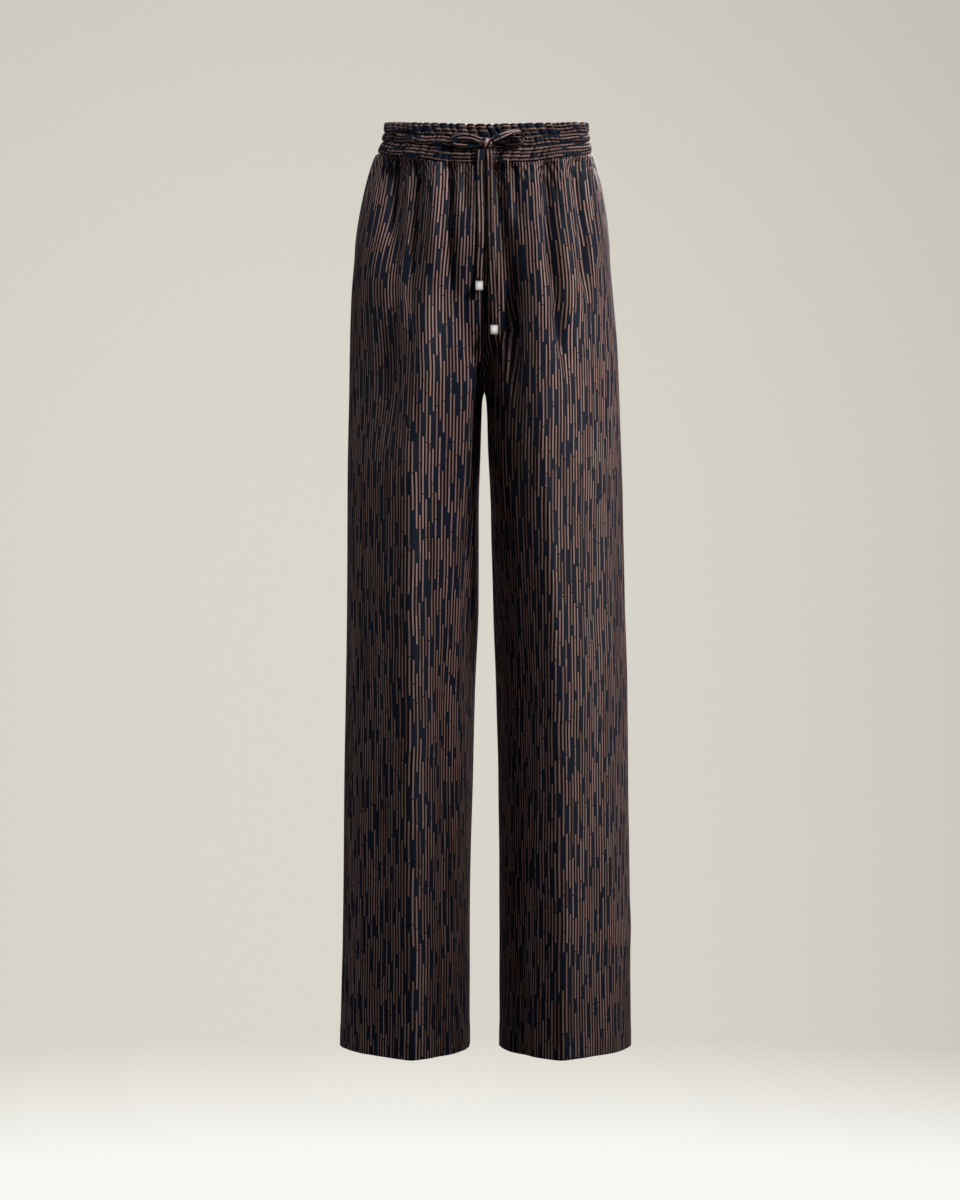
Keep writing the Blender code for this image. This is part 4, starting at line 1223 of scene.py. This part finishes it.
def make_string(name, path, roll, flat_axis, replaced):
    """A flat sewn tube of cloth along a path, pressed, with rounded folded edges."""
    sides = 32
    ahead = unit(np.gradient(path, axis=0))
    wide = unit(flat_axis - ahead * (ahead @ flat_axis)[:, None])
    thick = np.cross(ahead, wide)
    travel = path_length(path)
    turned = wide * np.cos(roll)[:, None] + thick * np.sin(roll)[:, None]
    thick = np.cross(ahead, turned)
    points = []
    uv = []
    for k in range(sides + 1):
        at = 2 * math.pi * k / sides
        across = squared_off(math.cos(at), 0.75)
        through = squared_off(math.sin(at), 0.55)
        dent = 1.0 - 0.22 * bell((across - 0.08) / 0.22)
        pucker = 1.0 + 0.10 * np.sin(travel / 2.3 + k) + 0.07 * np.sin(travel / 5.1 + 2.0 * k)
        half_width = STRING_WIDTH / 2 * (1.0 + 0.02 * np.sin(travel / 6.7))
        point = (path + turned * (across * half_width)[:, None]
                 + thick * (through * dent * STRING_THICKNESS / 2 * pucker)[:, None])
        points.append(point)
        spread = across if math.sin(at) >= 0 else 2.0 - across
        place = (spread * STRING_WIDTH / 2 + 0.7) * MM + PRINT_SHIFTS["string"]
        uv.append(np.stack([np.full_like(travel, place), travel * MM + 0.5 * len(name)], axis=-1))
    points = np.array(points).transpose(1, 0, 2)
    uv = np.array(uv).transpose(1, 0, 2)
    rings = len(path)
    index = np.arange(rings * (sides + 1)).reshape(rings, sides + 1)
    faces = grid_faces(rings, sides + 1).tolist()
    faces.append(index[0, :-1].tolist())
    faces.append(index[-1, :-1].tolist()[::-1])
    piece = mesh_object(name, points.reshape(-1, 3), faces, [string_print],
                        uv=uv.reshape(-1, 2))
    turn_outward(piece, weld=True)
    dress(piece, replaced)


def make_tip(side, end):
    """A plain square metal tip: bevelled box with a socket for the string's end."""
    centre = (end[0], end[1], end[2] - TIP_SIZE[2] / 2 - TIP_GAP)
    bpy.ops.mesh.primitive_cube_add(size=1.0, location=[c * MM for c in centre])
    tip = bpy.context.object
    tip.name = f"string_tip_{side}"
    tip.scale = [s * MM for s in TIP_SIZE]
    bpy.ops.object.transform_apply(location=True, rotation=False, scale=True)
    bpy.ops.object.mode_set(mode="EDIT")
    bpy.ops.mesh.select_all(action="DESELECT")
    mesh = bmesh.from_edit_mesh(tip.data)
    for face in mesh.faces:
        if face.normal.z > 0.9:
            face.select_set(True)
    bmesh.update_edit_mesh(tip.data)
    bpy.ops.mesh.inset(thickness=SOCKET_WALL * MM)
    bpy.ops.mesh.extrude_region_move(
        TRANSFORM_OT_translate={"value": (0, 0, -SOCKET_DEPTH * MM)})
    bpy.ops.object.mode_set(mode="OBJECT")
    bevel = tip.modifiers.new("rounded_edges", "BEVEL")
    bevel.width = TIP_BEVEL * MM
    bevel.segments = 4
    bevel.limit_method = "ANGLE"
    bpy.ops.object.modifier_apply(modifier="rounded_edges")
    bpy.ops.object.shade_smooth_by_angle(angle=math.radians(38))
    tip.data.materials.append(tip_metal)
    tip.select_set(False)
    dress(tip, f"tip_{side}")
    return tip


def make_knot():
    """The tied knot: a gathered core and the strand that wraps over it."""
    x, height = KNOT_CENTRE
    centre = np.array([x, cloth_front(x, height) - KNOT_SIZE[1] / 2 - KNOT_STAND_OFF, height])
    half = np.array(KNOT_SIZE) / 2
    rows, columns = 40, 64
    polar = np.linspace(0.0, math.pi, rows)[:, None]
    turn = np.linspace(0.0, 2 * math.pi, columns, endpoint=False)[None, :]
    pleat = 1.0 + 0.07 * np.sin(7 * turn + 1.0) * np.sin(polar) + 0.04 * np.sin(11 * turn + 2.0)
    waist = 1.0 - 0.16 * bell(np.cos(polar) / 0.35)
    body = np.stack([-np.cos(polar) * half[0] * 0.97 + 0 * turn,
                     np.sin(polar) * np.cos(turn) * half[1] * 0.72 * pleat * waist,
                     np.sin(polar) * np.sin(turn) * half[2] * 0.8 * pleat * waist], axis=-1)
    core = centre + body + np.array([0.0, 0.9, 0.0])
    faces = grid_faces(rows, columns, wrap=True).tolist()
    points = core.reshape(-1, 3)
    uv = np.stack([np.broadcast_to(turn * 5.0 * MM + PRINT_SHIFTS["knot"], (rows, columns)),
                   np.broadcast_to(polar * 5.0 * MM, (rows, columns))], axis=-1).reshape(-1, 2)

    rings, sides = 72, 24
    at = np.linspace(0.0, 2 * math.pi, rings, endpoint=False)
    lean = math.radians(24.0)
    ring = np.stack([math.sin(lean) * np.sin(at) * half[2] * 0.72,
                     -np.cos(at) * half[1] * 0.78,
                     math.cos(lean) * np.sin(at) * half[2] * 0.84], axis=-1)
    outward = np.stack([0.35 * math.sin(lean) * np.sin(at), -np.cos(at), np.sin(at)], axis=-1)
    outward = unit(outward)
    ahead = unit(np.roll(ring, -1, axis=0) - np.roll(ring, 1, axis=0))
    outward = unit(outward - ahead * (outward * ahead).sum(axis=1, keepdims=True))
    wide = np.cross(ahead, outward)
    strand = []
    for k in range(sides):
        angle = 2 * math.pi * k / sides
        across = squared_off(math.cos(angle), 0.8)
        through = squared_off(math.sin(angle), 0.7)
        groove = 0.28 * bell((across - 0.25) / 0.2)
        half_width = 3.3 * (1.0 + 0.10 * np.sin(2 * at + 0.6) + 0.03 * np.sin(5 * at))
        strand.append(ring + wide * (across * half_width)[:, None]
                      + outward * (0.95 * (through - groove * (through > 0)))
                      * (1.0 + 0.12 * np.sin(9 * at + 3 * k / sides))[:, None])
    strand = centre + np.array([-0.4, 0.0, 0.2]) + np.array(strand).transpose(1, 0, 2)
    faces += grid_faces(rings, sides, len(points), wrap=True, closed=True).tolist()
    over = np.arange(sides)[None, :] * 0.45 * MM + PRINT_SHIFTS["strand"]
    strand_uv = np.stack([np.broadcast_to(over, (rings, sides)),
                          np.broadcast_to(at[:, None] * 4.5 * MM, (rings, sides))], axis=-1)
    points = np.concatenate([points, strand.reshape(-1, 3)])
    uv = np.concatenate([uv, strand_uv.reshape(-1, 2)])
    piece = mesh_object("drawstring_knot_tied", points, faces, [string_print], uv=uv)
    turn_outward(piece, weld=True)
    dress(piece, "drawstring_knot")


# ------------------------------------------------------------------ camera and studio

MIDDLE_Z = -0.552             # in metres, half the garment's height


def make_camera():
    """The view: level, straight on, at half the garment's height."""
    data = bpy.data.cameras.new("front_view")
    data.sensor_fit = "VERTICAL"
    data.sensor_height = 36.0
    data.lens = 72.5
    camera = bpy.data.objects.new("front_view", data)
    camera.location = (-0.0054, -2.9, MIDDLE_Z)
    camera.rotation_euler = (math.pi / 2, 0.0, 0.0)
    bpy.context.scene.collection.objects.link(camera)
    bpy.context.scene.camera = camera


WARM = (1.0, 0.98, 0.95)
COOL = (0.97, 0.98, 1.0)
WHITE = (1.0, 1.0, 1.0)

# Sizes and places in metres, powers in watts, spreads in degrees.
Lamp = namedtuple("Lamp", "name place target size power spread colour")
LAMPS = rows_of(Lamp, [
    ("key", (1.75, -1.6, 1.3), (0.0, 0.0, -0.03), (0.6, 0.6), 2.5, 40, WARM),
    ("low_side", (3.1, -0.22, -0.3), (0.0, 0.0, -0.7), (0.6, 0.8), 1.8, 48, WARM),
    ("overhead", (0.0, 0.35, 2.4), (0.0, 0.02, -0.3), (0.5, 0.5), 1.2, 24, WARM),
    ("low_front", (-0.5, -2.7, -1.05), (0.0, 0.0, -1.0), (0.8, 0.6), 0.1, 40, WARM),
    ("fill", (-2.9, -0.55, 0.7), (0.0, 0.0, -0.3), (1.2, 1.6), 11.5, 180, COOL),
    ("behind", (1.1, 2.6, 1.1), (0.0, 0.0, -0.4), (0.5, 0.5), 5.0, 44, WARM),
    ("tip_glint", (0.1, -3.1, 0.25), (0.0, 0.0, -0.2), (0.9, 0.8), 5.5, 180, WHITE),
])


def area_light(lamp):
    """A soft studio light aimed at a point, its beam narrowed to a spread."""
    data = bpy.data.lights.new(lamp.name, "AREA")
    data.shape = "RECTANGLE"
    data.size, data.size_y = lamp.size
    data.energy = lamp.power
    data.spread = math.radians(lamp.spread)
    data.color = lamp.colour
    item = bpy.data.objects.new(lamp.name, data)
    item.location = lamp.place
    aim = np.array(lamp.target) - np.array(lamp.place)
    item.rotation_euler = (
        math.acos(-aim[2] / np.linalg.norm(aim)), 0.0, math.atan2(aim[1], aim[0]) - math.pi / 2)
    bpy.context.scene.collection.objects.link(item)
    return item


PAPER_WARM = rgb(221, 217, 207)
PAPER_SHADE = rgb(150, 144, 133)
PAPER_FLOOR = rgb(254, 253, 249)
FALLOFF_MOST = 0.35


def glowing_paper(name, low_top, low_height, reach, centre, strength):
    """Paper that gives its own soft light, paler below a height and duller far aside."""
    material, nodes, shader = new_material(name)
    x, _, z = nodes.split(nodes.place())
    low = nodes.math("MULTIPLY_ADD", z, -1.0 / low_height, low_top / low_height, clamp=True)
    low = nodes.math("SMOOTH_MIN", low, 1.0, 0.3)
    aside = abs(x - centre[0]) / reach
    high = nodes.math("MAXIMUM", z - centre[1], 0.0) / reach
    falloff = nodes.math("MINIMUM", aside**2.0 + high**2.0, FALLOFF_MOST)
    tone = nodes.mix(low, nodes.mix(falloff, PAPER_WARM, PAPER_SHADE), PAPER_FLOOR)
    shader.inputs["Base Color"].default_value = (0.03, 0.03, 0.03, 1.0)
    nodes.put(shader.inputs["Emission Color"], tone)
    shader.inputs["Emission Strength"].default_value = strength
    shader.inputs["Roughness"].default_value = 0.9
    shader.inputs["Specular IOR Level"].default_value = 0.0
    return material


def make_sweep():
    """Two upright papers behind the garment that light its edges and aren't in view."""
    wall_y, foot_z, top, near, far = 1.9, -1.75, 0.74, 0.4, 1.16
    points = [(x / MM, wall_y / MM, z / MM) for z in (foot_z, top)
              for x in (-far, -near, near, far)]
    faces = [[0, 1, 5, 4], [2, 3, 7, 6]]
    paper = glowing_paper("sweep_paper", -1.42, 0.26, 3.05, (-0.19, -0.48), 0.9)
    sweep = mesh_object("studio_sweep", points, faces, [paper])
    sweep.visible_camera = False
    sweep.visible_shadow = False
    sweep.visible_glossy = False


def make_room():
    """A pale round room seen from every side, which itself gives the garment no light."""
    radius, rings, columns = 6.0, 48, 96
    polar = np.linspace(0.0, math.pi, rings + 1)[:, None]
    turn = np.linspace(0.0, 2 * math.pi, columns, endpoint=False)[None, :]
    shell = np.stack([np.sin(polar) * np.cos(turn), np.sin(polar) * np.sin(turn),
                      np.cos(polar) + 0.0 * turn], axis=-1) * radius
    shell[..., 2] += MIDDLE_Z
    paper = glowing_paper("room_paper", -2.12, 0.4, 4.8, (-0.6, -0.42), 0.97)
    room = mesh_object("studio_room", shell.reshape(-1, 3) / MM,
                       grid_faces(rings + 1, columns, wrap=True).tolist(), [paper])
    room.visible_diffuse = False
    room.visible_glossy = False
    room.visible_transmission = False
    room.visible_volume_scatter = False
    room.visible_shadow = False


def make_studio():
    """Pale paper all round, a faint world light and the lamps; the last of them lights
    nothing but what shines, the metal tips above all."""
    make_sweep()
    make_room()
    world = bpy.data.worlds.new("soft_room")
    world.use_nodes = True
    background = world.node_tree.nodes["Background"]
    background.inputs[0].default_value = (0.93, 0.95, 1.0, 1.0)
    background.inputs[1].default_value = 0.024
    bpy.context.scene.world = world
    bpy.context.scene.view_settings.view_transform = "Standard"
    lamps = [area_light(lamp) for lamp in LAMPS]
    lamps[-1].visible_diffuse = False


# ----------------------------------------------------------------------------- making

make_camera()
sideways = np.array([1.0, 0.0, 0.0])
upward = np.array([0.0, 0.0, 1.0])
for side in SIDES:
    tail, roll = string_path(TAIL_ROUTES[side], 150)
    tip = make_tip(side, tail[-1])
    make_string(f"drawstring_end_{side}", tail, roll, sideways, f"drawstring_tail_{side}")
    loop, roll = string_path(LOOP_ROUTES[side], 110)
    make_string(f"bow_loop_{side}", loop, roll, upward, f"drawstring_loop_{side}")
make_knot()
for face in FACES:
    make_waistband(face)
    for side in SIDES:
        make_panel(side, face)
for side in SIDES:
    make_pocket_facing(side)
make_studio()
